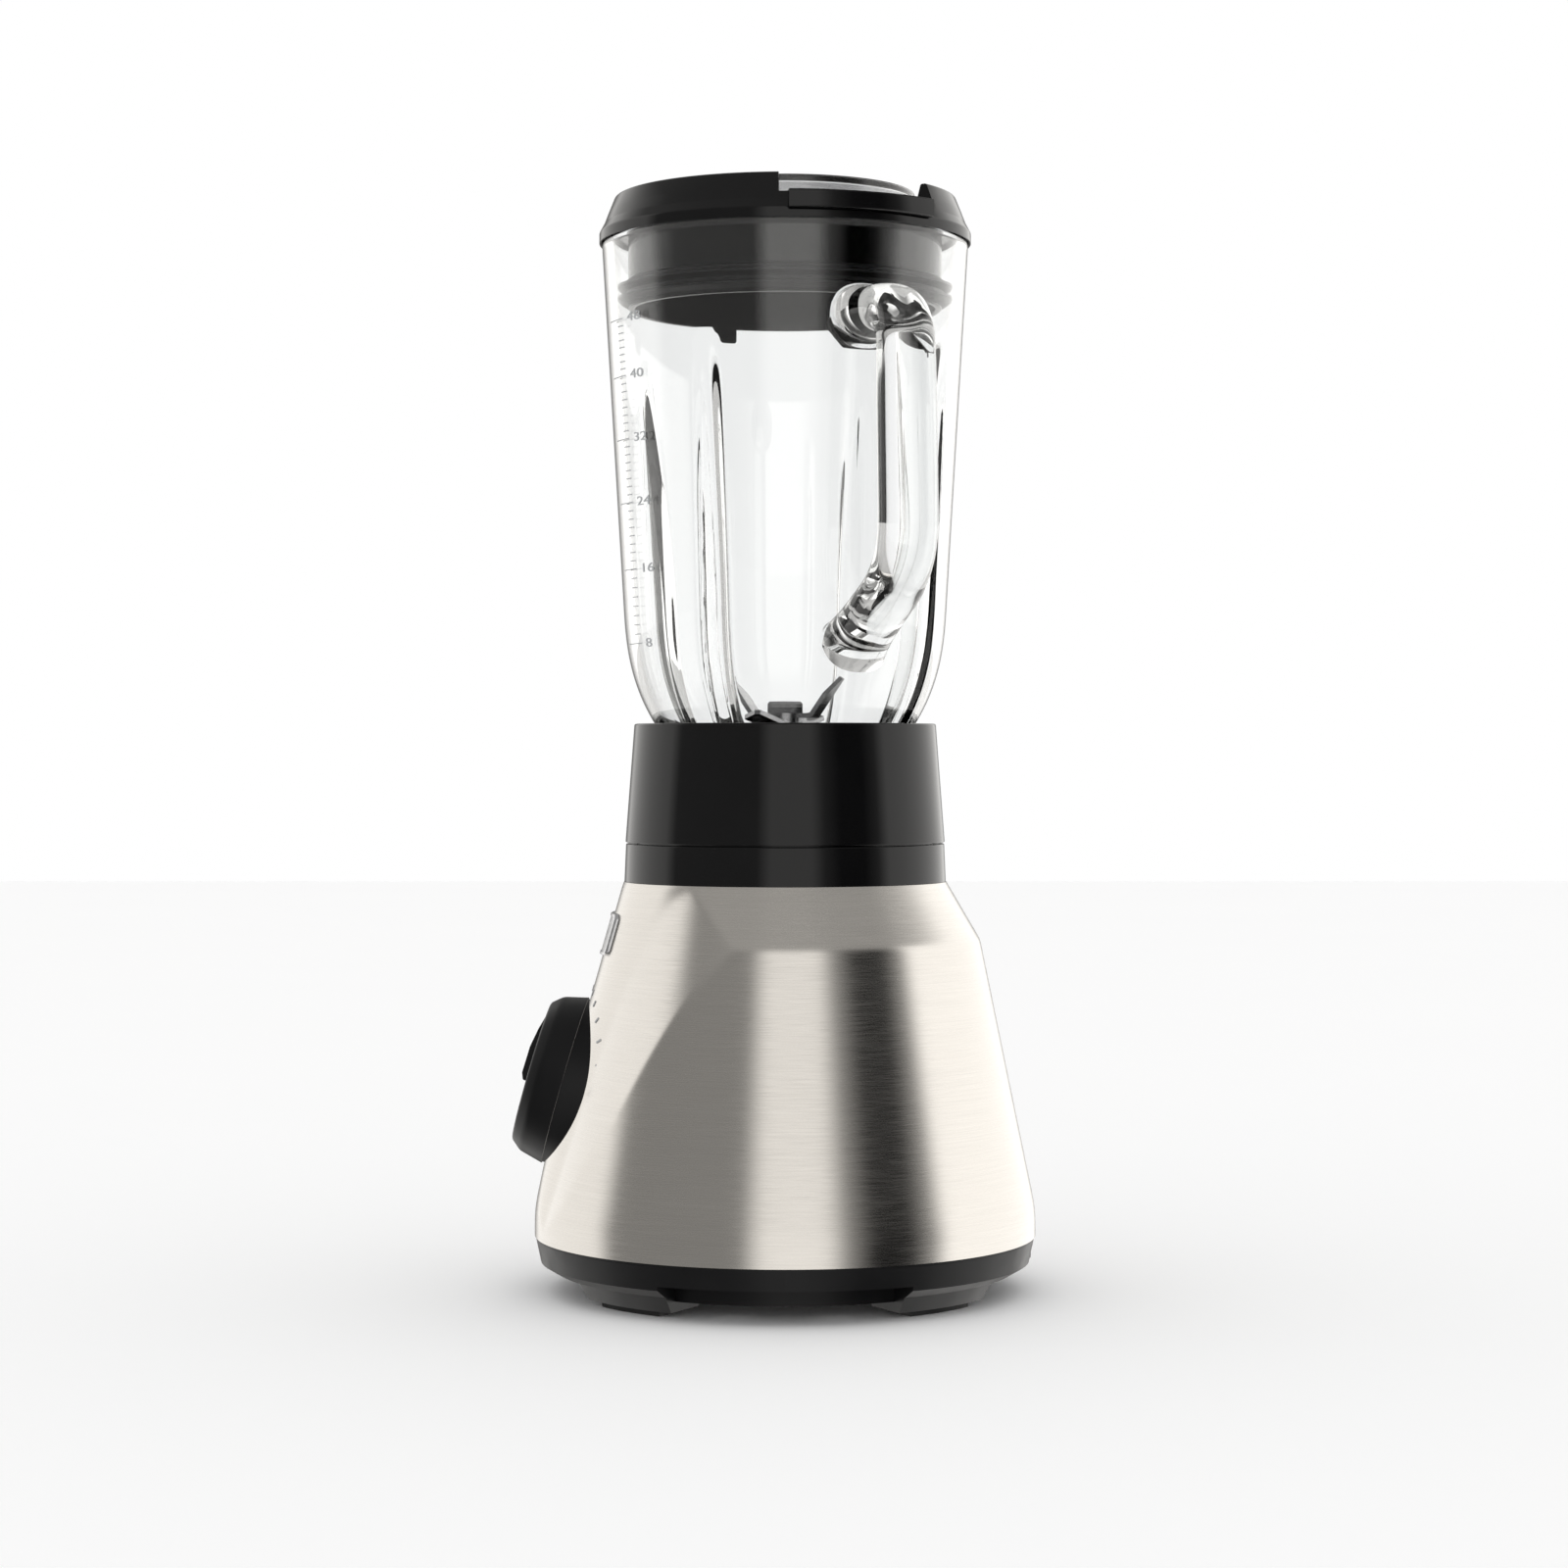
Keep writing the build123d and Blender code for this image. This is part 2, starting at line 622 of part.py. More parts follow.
save("carbon_brushes", brush, Rot(0, 0, 180) * brush)
save("brush_springs", spring, Rot(0, 0, 180) * spring)

# ---- Rotor ----
shaft_low_z = fan_z - 2.0
shaft_high_z = stud_z + 4.0
save("motor_shaft", disc(shaft_radius, shaft_low_z, shaft_high_z))
slot_count = 12
slot_circle = armature_radius - 3.0
slot_radius = 1.9
core_sheet = ring(armature_radius, shaft_radius, core_bottom_z, core_top_z)
winding_radius = slot_circle + slot_radius + 0.4
winding = ring(winding_radius, shaft_radius + 2.0, core_top_z + 0.3, core_top_z + 7.0)
winding += ring(winding_radius, shaft_radius + 2.0, core_bottom_z - 7.0, core_bottom_z - 0.3)
for index in range(slot_count):
    turn = Rot(0, 0, index * 360 / slot_count)
    core_sheet -= turn * disc(slot_radius, core_bottom_z - 1, core_top_z + 1, x=slot_circle)
    winding += turn * disc(slot_radius - 0.2, core_bottom_z - 2, core_top_z + 2, x=slot_circle)
save("armature_core", core_sheet)
save("armature_windings", winding)
copper = ring(commutator_radius, shaft_radius, commutator_z, commutator_z + commutator_length)
for index in range(slot_count):
    groove = block((commutator_radius - 1.5, commutator_radius + 1), (-0.3, 0.3),
                   (commutator_z - 1, commutator_z + commutator_length + 1))
    copper -= Rot(0, 0, index * 360 / slot_count) * groove
save("commutator", copper)

fan_hub_radius = 9.0
fan = disc(fan_hub_radius, fan_z, fan_z + fan_depth)
fan += disc(fan_radius, fan_z + fan_depth - 1.5, fan_z + fan_depth)
for index in range(fan_blades):
    vane = block((fan_hub_radius - 1, fan_radius - 0.5), (-0.8, 0.8), (fan_z, fan_z + fan_depth - 1.0))
    fan += Rot(0, 0, index * 360 / fan_blades) * Pos(0, 4.0, 0) * Rot(0, 0, -8) * vane
fan -= disc(shaft_radius, fan_z - 1, fan_z + fan_depth + 1)
save("cooling_fan", fan)

stud_half = stud_width / 2
stud_neck_radius = stud_half * math.sqrt(2) + 0.1
stud = block((-stud_half, stud_half), (-stud_half, stud_half), (stud_z, stud_z + stud_length))
stud = chamfer(stud.faces().sort_by(Axis.Z)[-1].edges(), 1.0)
stud += disc(stud_neck_radius, stud_z - 2.5, stud_z + 2.5)
stud -= disc(shaft_radius, stud_z - 5, shaft_high_z)
save("drive_stud", stud)

# ---- Jar seat ring and drip seal ----
hub_hole = stud_neck_radius + 4.4
seat = turned([
    (hub_hole, housing_top_z),
    (housing_top_radius - 0.2, housing_top_z),
    (seat_ring_top_radius, seat_top_z),
    (seat_inner_radius, seat_top_z),
    (seat_inner_radius, seat_floor_z),
    (hub_hole + 3.5, seat_floor_z),
    (hub_hole + 3.0, seat_floor_z + 3.2),
    (hub_hole, seat_floor_z + 3.2),
])
lug_length = 4.0
lug_half_width = 5.0
lug_azimuths = [22.5, 112.5, 202.5, 292.5]
lug = block((seat_inner_radius - lug_length, seat_inner_radius + 1.0), (-lug_half_width, lug_half_width),
            (seat_floor_z - 1, seat_top_z - 4.0))
seat += fused(around(lug, lug_azimuths))
seat += fused(around(disc(post_radius - 0.5, seat_floor_z - 1, seat_boss_z, x=post_circle), four_corners))
for azimuth in four_corners:
    seat -= Rot(0, 0, azimuth) * disc(2.2, housing_top_z - 1, seat_boss_z - 1.5, x=post_circle)
back_notch_depth = 1.0
back_notch_height = 5.5
seat -= block((-4, 4), (housing_top_radius - back_notch_depth, housing_top_radius + 2),
              (housing_top_z - 1, housing_top_z + back_notch_height))
save("jar_seat_ring", seat)
save("drip_seal", ring(hub_hole - 0.05, stud_neck_radius + 0.3, housing_top_z + 0.5, seat_floor_z + 2.0))

# ---- Jar collar ----
collar_bore = jar_neck_radius + 0.6
collar = turned([
    (skirt_inner_radius, seat_floor_z),
    (skirt_radius, seat_floor_z),
    (skirt_radius, collar_bottom_z),
    (collar_bottom_radius, collar_bottom_z),
    (collar_top_radius, collar_top_z - 0.6),
    (collar_top_radius - 0.6, collar_top_z),
    (collar_top_radius - collar_wall, collar_top_z),
    (collar_top_radius - collar_wall - 0.2, neck_top_z - 2.0),
    (collar_bore, neck_top_z - 5.0),
    (collar_bore, ledge_z),
    (collar_ledge_radius, ledge_z),
    (collar_ledge_radius, ledge_z - collar_ledge),
    (skirt_inner_radius, ledge_z - collar_ledge),
])
for azimuth in lug_azimuths:
    notch = block((seat_inner_radius - lug_length - 1.0, seat_inner_radius + 2.0),
                  (-lug_half_width - 0.8, lug_half_width + 0.8), (seat_floor_z - 1, seat_top_z - 3.0))
    collar -= Rot(0, 0, azimuth) * notch
save("jar_collar", collar)


# ---- Glass jar with flutes and handle ----
def jar_solid(inset, z_low, z_high, rim_bevel):
    """The glass jar's outer surface moved inwards by inset, as a closed solid with a bevelled top edge."""
    belly = (jar_belly_radius - inset, 0, belly_z)
    neck = (jar_neck_radius - inset, 0, neck_top_z - 1.0)
    top_radius = jar_belly_radius - inset + jar_lean * (z_high - belly_z)
    lower = Polyline(neck, (neck[0], 0, z_low), (0, 0, z_low), (0, 0, z_high),
                     (top_radius - rim_bevel, 0, z_high), (top_radius, 0, z_high - abs(rim_bevel)), belly)
    curve = TangentArc(belly, neck, tangent=(-jar_lean, 0, -1))
    return revolve(make_face(lower + curve), axis=Axis.Z)


def jar_radius(z):
    """Outer radius of the glass at height z, close enough to place the flutes."""
    if z >= belly_z:
        return jar_belly_radius + jar_lean * (z - belly_z)
    share = (belly_z - z) / (belly_z - neck_top_z)
    return jar_belly_radius - (jar_belly_radius - jar_neck_radius) * share ** 1.9


def flute_wedge(extra_depth, extra_width, azimuth, top_z):
    """A V-shaped wedge against the glass, deepest low down and running out to a point."""
    low_z = neck_top_z + 1.0
    sections = []
    for share in (0.0, 0.25, 0.6, 1.0):
        z = low_z + (top_z - low_z) * share
        fade = math.cos(share * math.pi / 2) ** 0.6 if share < 1 else 0.0
        radius = jar_radius(z)
        depth = flute_depth * fade + 0.4 + extra_depth
        width = flute_half_width * (0.35 + 0.65 * fade) + extra_width
        grow = (depth + 4.0) / depth
        outline = Polyline((radius - depth, 0, z), (radius + 4.0, width * grow, z),
                           (radius + 4.0, -width * grow, z), close=True)
        sections.append(make_face(outline))
    return Rot(0, 0, azimuth) * loft(sections, ruled=True)


glass_outer = jar_solid(0, neck_bottom_z, rim_z, jar_rim_bevel)
glass_cavity = jar_solid(jar_wall, neck_bottom_z - 1.0, rim_z, -0.8)
flute_top_z = rim_z - flute_top_gap
flute_azimuths = [flute_azimuth + index * 360 / flute_count for index in range(flute_count)]
glass = glass_outer - glass_cavity
for azimuth in flute_azimuths:
    rib = flute_wedge(jar_wall * 1.1, jar_wall * 0.7, azimuth, flute_top_z + 6.0)
    glass += rib & glass_outer
for azimuth in flute_azimuths:
    glass -= flute_wedge(0.0, 0.0, azimuth, flute_top_z)

handle_top_z = rim_z - handle_top_gap
handle_low_z = handle_top_z - handle_grip_drop
handle_root_z = handle_top_z - handle_root_drop
upper_root = (jar_belly_radius - 1.0, 0, handle_top_z - 1.0)
lower_root = (jar_belly_radius - 4.0, 0, handle_root_z)
handle_path = FilletPolyline(
    upper_root,
    (handle_top_reach, 0, handle_top_z),
    (handle_reach, 0, handle_low_z),
    lower_root,
    radius=[15.0, 20.0],
)
handle_face = Plane(origin=handle_path @ 0, x_dir=(0, 1, 0), z_dir=handle_path % 0)
handle = sweep(handle_face * Ellipse(handle_width / 2, handle_depth / 2), path=handle_path)
root_flare = Pos(jar_belly_radius + 3.0, 0, handle_top_z - 1.0) * Rot(0, 90, 0)
handle += root_flare * Cone(12.5, 8.6, 18.0, align=(Align.CENTER, Align.CENTER, Align.MIN))
handle = Rot(0, 0, handle_azimuth) * handle
glass += handle - glass_outer
save("glass_jar", glass)

# ---- Blade assembly in the jar's foot ----
hub_radius = 12.5
bush_radius = 7.5
hub_top_z = collar_top_z - 0.7
hub_bottom_z = ledge_z - 14.0
seal_height = 4.3
hub_flange_z = ledge_z + hub_flange
blade_housing = turned([
    (bush_radius, hub_bottom_z),
    (hub_radius, hub_bottom_z),
    (hub_radius, ledge_z - 2.0),
    (collar_ledge_radius - 2.0, ledge_z),
    (jar_neck_radius - 0.5, ledge_z),
    (jar_neck_radius - 0.5, hub_flange_z),
    (jar_neck_radius - 7.5, hub_flange_z),
    (hub_radius * 2.1, hub_flange_z + 4.5),
    (hub_radius + 1.5, hub_top_z - 4.0),
    (hub_radius, hub_top_z),
    (bush_radius, hub_top_z),
])
save("blade_housing", blade_housing)
gasket_inner = jar_neck_radius - jar_wall - 2.0
save("jar_gasket", ring(jar_neck_radius - 0.5, gasket_inner, hub_flange_z, neck_bottom_z))
bush_bore = blade_shaft_radius + running_clearance
bush_length = 12.0
bush_outer = bush_radius - press_clearance
lower_bush_z = hub_bottom_z + 1.0
lower_bush = ring(bush_outer, bush_bore, lower_bush_z, lower_bush_z + bush_length)
upper_bush_z = hub_top_z - seal_height - 0.6 - bush_length
upper_bush = ring(bush_outer, bush_bore, upper_bush_z, upper_bush_z + bush_length)
save("blade_bushings", lower_bush, upper_bush)
save("shaft_seal", ring(bush_outer, bush_bore + 0.05, hub_top_z - seal_height, hub_top_z))

washer = 1.0
blade_low_z = hub_top_z + 0.3 + washer
spacer_z = blade_low_z + blade_thickness
blade_high_z = spacer_z + washer
nut_z = blade_high_z + blade_thickness
blade_hub_radius = 8.0
coupling_length = 10.0
coupling_top_z = coupling_z + coupling_length
shaft_foot_z = stud_z + stud_length + 0.6
save("blade_shaft", disc(blade_shaft_radius, shaft_foot_z, nut_z + nut_height - 1.0))
save("blade_washers", ring(blade_hub_radius, blade_shaft_radius, hub_top_z + 0.3, blade_low_z),
     ring(blade_hub_radius, blade_shaft_radius, spacer_z, blade_high_z))


def prong(azimuth, z, slope, reach):
    """One sharpened arm: a flat root and an end that is bent up or down by slope degrees."""
    bend = blade_hub_radius + 3.0
    half = blade_width / 2
    run = (reach - bend) / math.cos(math.radians(slope))
    root = block((0, bend), (-half, half), (z, z + blade_thickness))
    outline = Polyline((0, -half), (run * 0.55, -half), (run, half * 0.55), (run, half), (0, half),
                       close=True)
    arm = Pos(0, 0, -blade_thickness / 2) * extrude(make_face(outline), blade_thickness)
    arm = Pos(bend, 0, z + blade_thickness / 2) * Rot(0, -slope, 0) * arm
    knee = Rot(90, 0, 0) * Cylinder(blade_thickness / 2, blade_width)
    knee = Pos(bend, 0, z + blade_thickness / 2) * knee
    return Rot(0, 0, azimuth) * (root + arm + knee)


def blade_pair(z, azimuth, slope, reach):
    pair = prong(azimuth, z, slope, reach) + prong(azimuth + 180, z, slope, reach)
    pair += disc(blade_hub_radius, z, z + blade_thickness)
    return pair - disc(blade_shaft_radius, z - 1, z + blade_thickness + 1)


save("lower_blade", blade_pair(blade_low_z, 150.0, lower_slope, blade_reach))
save("upper_blade", blade_pair(blade_high_z, 75.0, upper_slope, upper_reach))
nut = extrude(RegularPolygon(7.4, 6), nut_height)
nut = Pos(0, 0, nut_z) * chamfer(nut.faces().sort_by(Axis.Z)[-1].edges(), 0.8)
save("blade_nut", nut - disc(blade_shaft_radius, nut_z - 1, nut_z + nut_height - 1.0))

socket_half = stud_half + 0.3
coupling = disc(coupling_radius, coupling_z, coupling_top_z)
socket = (-socket_half, socket_half)
coupling -= block(socket, socket, (coupling_z - 1, shaft_foot_z))
coupling -= disc(blade_shaft_radius, coupling_z, coupling_top_z + 1)
save("driven_coupling", coupling)
save("thrust_washer", ring(hub_radius - 4.0, blade_shaft_radius, coupling_top_z, hub_bottom_z - 0.4))

# ---- Lid, its gasket and the measuring cap ----
lid_lip_inner = jar_rim_radius + sliding_clearance
lid_skirt_low_z = rim_z - lid_skirt_depth
lid_well_low_z = lid_floor_z - lid_well_depth
crown_z = rim_z + lid_crown_height
brim_low_z = rim_z - jar_rim_bevel
brim_high_z = brim_low_z + lid_brim_band
lid = turned([
    (cap_well_radius - 2.6, lid_well_low_z),
    (cap_well_radius - 2.6, lid_well_low_z + lid_wall),
    (cap_well_radius, lid_well_low_z + lid_wall),
    (cap_well_radius, lid_floor_z),
    (lid_crown_radius - lid_crown_width - 2.0, lid_floor_z),
    (lid_crown_radius - lid_crown_width, crown_z),
    (lid_crown_radius, crown_z),
    (lid_brim_radius - 0.5, brim_high_z),
    (lid_brim_radius, brim_high_z - 0.9),
    (lid_brim_radius, brim_low_z),
    (lid_lip_inner, brim_low_z),
    (lid_lip_inner - jar_rim_bevel, rim_z),
    (lid_skirt_radius, rim_z),
    (lid_skirt_radius, lid_skirt_low_z),
    (lid_skirt_radius - lid_wall, lid_skirt_low_z),
    (lid_skirt_radius - lid_wall, lid_floor_z - lid_wall),
    (cap_well_radius + lid_wall, lid_floor_z - lid_wall),
    (cap_well_radius + lid_wall, lid_well_low_z),
])
notch_inner = lid_crown_radius - lid_crown_width - 4.5
notch_outer = lid_brim_radius + 6.0
notch_outline = [(notch_inner, lid_floor_z), (notch_outer, lid_floor_z), (notch_outer, crown_z + 2),
                 (notch_inner, crown_z + 2)]
lid -= turned(notch_outline, lid_notch_angle, lid_notch_azimuth)
tab_low_z = lid_floor_z - lid_tab_thickness
tab_outline = [(lid_skirt_radius + 1.0, tab_low_z), (lid_tab_reach, tab_low_z),
               (lid_tab_reach, lid_floor_z - 1.0), (lid_tab_reach - 1.0, lid_floor_z),
               (lid_skirt_radius + 1.0, lid_floor_z)]
lid += turned(tab_outline, lid_notch_angle - 2.0, lid_notch_azimuth)
nub = Pos(lid_skirt_radius - lid_wall / 2, 0, lid_skirt_low_z) * Rot(0, 90, 0) * Cylinder(4.6, lid_wall)
for azimuth in (nub_azimuth, nub_azimuth + 180):
    lid += Rot(0, 0, azimuth) * (nub - block((0, 90), (-10, 10), (lid_skirt_low_z + 2, rim_z)))
save("lid", lid)

gasket_z = lid_skirt_low_z + 0.5
gasket_tip = jar_radius(gasket_z) - jar_wall - sliding_clearance
gasket_outline = [(lid_skirt_radius, gasket_z)]
for index in range(2):
    low = gasket_z + 0.8 + index * 4.4
    gasket_outline += [(lid_skirt_radius + 1.0, low), (gasket_tip, low + 1.4), (gasket_tip, low + 2.2),
                       (lid_skirt_radius + 1.0, low + 3.0)]
gasket_outline += [(lid_skirt_radius + 1.0, gasket_z + 9.2), (lid_skirt_radius, gasket_z + 10.0)]
save("lid_gasket", turned(gasket_outline))

cap_low_z = lid_well_low_z + lid_wall
cap_high_z = lid_floor_z + cap_rise
cap = turned([
    (0, cap_high_z - cap_top),
    (0, cap_high_z),
    (cap_radius - 1.0, cap_high_z),
    (cap_radius, cap_high_z - 1.0),
    (cap_radius, cap_low_z),
    (cap_radius - cap_wall, cap_low_z),
    (cap_radius - cap_wall, cap_high_z - cap_top),
])
save("measuring_cap", cap)

# ---- Knob, bezel and rotary switch ----
bezel = on_knob_axis(disc(bezel_radius, -18, bezel_stand)) - outer_envelope
bezel -= on_knob_axis(disc(panel_hole_radius, -20, 5))
bracket_back = -14.0
bracket = on_knob_axis(block((-28, 28), (-16, 16), (bracket_back, 5))) & inner_envelope
bracket -= on_knob_axis(disc(panel_hole_radius - 0.5, bracket_back - 1, 5))
switch_half = switch_width / 2
switch = block((-switch_half, switch_half), (-switch_half, switch_half),
               (bracket_back - switch_depth, bracket_back))
switch += disc(panel_hole_radius - 0.6, bracket_back, -1.0)
switch -= disc(spindle_bore, bracket_back - switch_depth + 4.0, 2.0)
dial_screws = []
for side in (-1, 1):
    x = side * dial_screw_spacing / 2
    bracket -= on_knob_axis(disc(1.8, bracket_back - 1, 5, x=x))
    bezel -= on_knob_axis(disc(1.65, -12, -1.2, x=x))
    dial_screws.append(on_knob_axis(Pos(x, 0, bracket_back) * screw(3.0, 2.0, 1.6, -bracket_back - 1.6)))
save("dial_bezel", bezel)
save("switch_bracket", bracket)
save("rotary_switch", on_knob_axis(switch))
save("dial_screws", *dial_screws)

knob_top = knob_gap + knob_length
knob_rim = 4.0
knob = turned([
    (spindle_radius + press_clearance, knob_gap + 1.0),
    (knob_hub_radius, knob_gap + 1.0),
    (knob_hub_radius, knob_top - knob_wall),
    (knob_face_radius - knob_wall - 2.4, knob_top - knob_wall),
    (knob_base_radius - knob_wall, knob_gap),
    (knob_base_radius, knob_gap),
    (knob_face_radius + 0.9, knob_top - knob_rim),
    (knob_face_radius - 2.5, knob_top),
    (0, knob_top),
    (0, knob_top - 2.0),
    (spindle_radius + press_clearance, knob_top - 2.0),
])
grip_width = 13.0
grip_high = 21.0
grip_low = -3.6
grip_rise = 3.0
grip_foot = knob_top - 0.5
grip_side = Polyline((0, grip_high, grip_foot), (0, grip_high, knob_top),
                     (0, grip_low, knob_top + grip_rise), (0, grip_low, grip_foot), close=True)
grip = extrude(make_face(grip_side), grip_width / 2, both=True, dir=(1, 0, 0))
save("control_knob", on_knob_axis(knob + grip))
spindle = disc(spindle_radius, bracket_back - switch_depth + 5.0, knob_top - 2.2)
save("switch_spindle", on_knob_axis(spindle))
clip_ring = ring(knob_hub_radius + 1.0, knob_hub_radius + 0.02, knob_gap + 2.0, knob_gap + 5.0)
clip_ring -= block((0, 20), (-2, 2), (0, 20))
save("knob_clip", on_knob_axis(clip_ring))
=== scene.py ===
import math

import bmesh
import bpy
import numpy as np
from mathutils import Matrix, Vector


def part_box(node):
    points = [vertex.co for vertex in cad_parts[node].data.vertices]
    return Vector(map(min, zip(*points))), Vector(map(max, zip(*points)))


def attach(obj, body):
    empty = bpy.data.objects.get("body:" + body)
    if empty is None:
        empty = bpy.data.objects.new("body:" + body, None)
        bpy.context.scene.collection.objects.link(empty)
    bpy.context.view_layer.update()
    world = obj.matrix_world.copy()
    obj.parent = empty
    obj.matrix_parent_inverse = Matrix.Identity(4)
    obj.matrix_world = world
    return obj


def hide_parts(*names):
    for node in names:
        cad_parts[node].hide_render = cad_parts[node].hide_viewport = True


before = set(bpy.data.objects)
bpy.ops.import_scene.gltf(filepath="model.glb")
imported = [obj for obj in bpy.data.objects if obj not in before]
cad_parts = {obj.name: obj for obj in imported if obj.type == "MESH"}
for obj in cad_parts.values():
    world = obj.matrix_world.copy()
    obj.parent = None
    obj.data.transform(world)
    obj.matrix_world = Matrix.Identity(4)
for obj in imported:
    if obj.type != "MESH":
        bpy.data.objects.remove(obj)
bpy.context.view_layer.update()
MM = 0.001


# ---------------------------------------------------------------- sizes read from the frame
def low(node):
    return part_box(node)[0]


def high(node):
    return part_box(node)[1]


HOUSING_LOW = low("housing_shell").z
HOUSING_TOP = high("housing_shell").z
HOUSING_RADIUS = high("housing_shell").x
SEAT_TOP = high("jar_seat_ring").z
COLLAR_LOW = SEAT_TOP + 0.5 * MM
COLLAR_TOP = high("jar_collar").z
GLASS_LOW = low("glass_jar").z
GLASS_TOP = high("glass_jar").z
CROWN_TOP = high("lid").z
SKIRT_LOW = GLASS_TOP - 26 * MM
CAP_RADIUS = high("measuring_cap").x
CAP_LOW = low("measuring_cap").z
CAP_TOP = high("measuring_cap").z


# ---------------------------------------------------------------- sums for Python and Geometry Nodes alike
def smooth_least(a, b, blend):
    if blend <= 0:
        return min(a, b)
    share = max(blend - abs(a - b), 0) / blend
    return min(a, b) - share ** 3 * blend / 6


def wrapped(value, top, bottom):
    return (value - bottom) % (top - bottom) + bottom


PLAIN = {
    "ADD": lambda a, b: a + b, "SUBTRACT": lambda a, b: a - b, "MULTIPLY": lambda a, b: a * b,
    "DIVIDE": lambda a, b: a / b, "POWER": lambda a, b: a ** b, "SINE": math.sin, "COSINE": math.cos,
    "SQRT": math.sqrt, "ABSOLUTE": abs, "MINIMUM": min, "MAXIMUM": max, "WRAP": wrapped,
    "SMOOTH_MIN": smooth_least, "SMOOTH_MAX": lambda a, b, k: -smooth_least(-a, -b, k),
}


class Field:
    """A value that varies over a surface inside the tree being built."""
    tree = None

    def __init__(self, socket):
        self.socket = socket

    def __add__(self, other):
        return calc("ADD", self, other)

    def __sub__(self, other):
        return calc("SUBTRACT", self, other)

    def __mul__(self, other):
        return calc("MULTIPLY", self, other)

    def __truediv__(self, other):
        return calc("DIVIDE", self, other)

    def __pow__(self, other):
        return calc("POWER", self, other)

    def __rsub__(self, other):
        return calc("SUBTRACT", other, self)

    __radd__ = __add__
    __rmul__ = __mul__


def calc(kind, *values):
    """One arithmetic step: plain numbers give a number, and any field gives a math node."""
    if not any(isinstance(value, Field) for value in values):
        return PLAIN[kind](*values)
    node = Field.tree.nodes.new("ShaderNodeMath")
    node.operation = kind
    for slot, value in enumerate(values):
        if isinstance(value, Field):
            Field.tree.links.new(value.socket, node.inputs[slot])
        else:
            node.inputs[slot].default_value = value
    return Field(node.outputs[0])


def least(a, b, blend=0.0):
    return calc("SMOOTH_MIN", a, b, blend)


def most(a, b, blend=0.0):
    return calc("SMOOTH_MAX", a, b, blend)


def clamp01(value):
    return calc("MINIMUM", calc("MAXIMUM", value, 0.0), 1.0)


# ---------------------------------------------------------------- Geometry Nodes helpers
class Tree:
    """A Geometry Nodes tree with named inputs, ending in Realize Instances and Set Material."""

    def __init__(self, name, material, **inputs):
        self.tree = bpy.data.node_groups.new(name, "GeometryNodeTree")
        self.material = material
        self.given = inputs
        face = self.tree.interface
        face.new_socket("Geometry", in_out="INPUT", socket_type="NodeSocketGeometry")
        self.identifiers = {}
        for key, value in inputs.items():
            whole = isinstance(value, int)
            kind = "NodeSocketInt" if whole else "NodeSocketFloat"
            socket = face.new_socket(key.replace("_", " ").title(), in_out="INPUT", socket_type=kind)
            self.identifiers[key] = socket.identifier
        face.new_socket("Geometry", in_out="OUTPUT", socket_type="NodeSocketGeometry")
        self.inputs = self.tree.nodes.new("NodeGroupInput")
        Field.tree = self.tree

    def node(self, kind, settings=None, **links):
        made = self.tree.nodes.new(kind)
        for key, value in (settings or {}).items():
            setattr(made, key, value)
        for key, value in links.items():
            socket = made.inputs[key.replace("_", " ")]
            if isinstance(value, Field):
                self.tree.links.new(value.socket, socket)
            elif isinstance(value, bpy.types.NodeSocket):
                self.tree.links.new(value, socket)
            else:
                socket.default_value = value
        return made

    def value(self, key):
        return Field(self.inputs.outputs[list(self.identifiers).index(key) + 1])

    def vector(self, x, y, z):
        return self.node("ShaderNodeCombineXYZ", X=x, Y=y, Z=z).outputs[0]

    def finish(self, geometry, name):
        """Run the tree on an empty mesh and return its plain mesh object."""
        real = self.node("GeometryNodeRealizeInstances", Geometry=geometry)
        painted = self.node("GeometryNodeSetMaterial", Geometry=real.outputs[0])
        painted.inputs["Material"].default_value = self.material
        out = self.tree.nodes.new("NodeGroupOutput")
        self.tree.links.new(painted.outputs[0], out.inputs[0])
        holder = new_object(name + "_tree", bpy.data.meshes.new(name + "_tree"))
        modifier = holder.modifiers.new("made", "NODES")
        modifier.node_group = self.tree
        for key, identifier in self.identifiers.items():
            modifier[identifier] = self.given[key]
        mesh = plain_mesh(holder)
        bpy.data.objects.remove(holder)
        return new_object(name, mesh, self.material)


def new_object(name, mesh, material=None):
    piece = bpy.data.objects.new(name, mesh)
    bpy.context.scene.collection.objects.link(piece)
    if material:
        mesh.materials.clear()
        mesh.materials.append(material)
    return piece


def plain_mesh(piece):
    bpy.context.view_layer.update()
    graph = bpy.context.evaluated_depsgraph_get()
    return bpy.data.meshes.new_from_object(piece.evaluated_get(graph))


def apply_modifiers(piece):
    mesh = plain_mesh(piece)
    piece.modifiers.clear()
    piece.data = mesh
    return piece


def polar_surface(tree, across, along, place):
    """A grid whose columns go round the axis and whose rows follow a path, welded at its edges.
    place(turn, share) gives x, y and z for a turn of 0..1 and a share of 0..1 along the path."""
    grid = tree.node("GeometryNodeMeshGrid", Size_X=1.0, Size_Y=1.0, Vertices_X=across, Vertices_Y=along)
    at = tree.node("ShaderNodeSeparateXYZ", Vector=tree.node("GeometryNodeInputPosition").outputs[0])
    x, y, z = place(Field(at.outputs[0]) + 0.5, Field(at.outputs[1]) + 0.5)
    moved = tree.node("GeometryNodeSetPosition", Geometry=grid.outputs[0], Position=tree.vector(x, y, z))
    return tree.node("GeometryNodeMergeByDistance", Geometry=moved.outputs[0], Distance=2e-6).outputs[0]


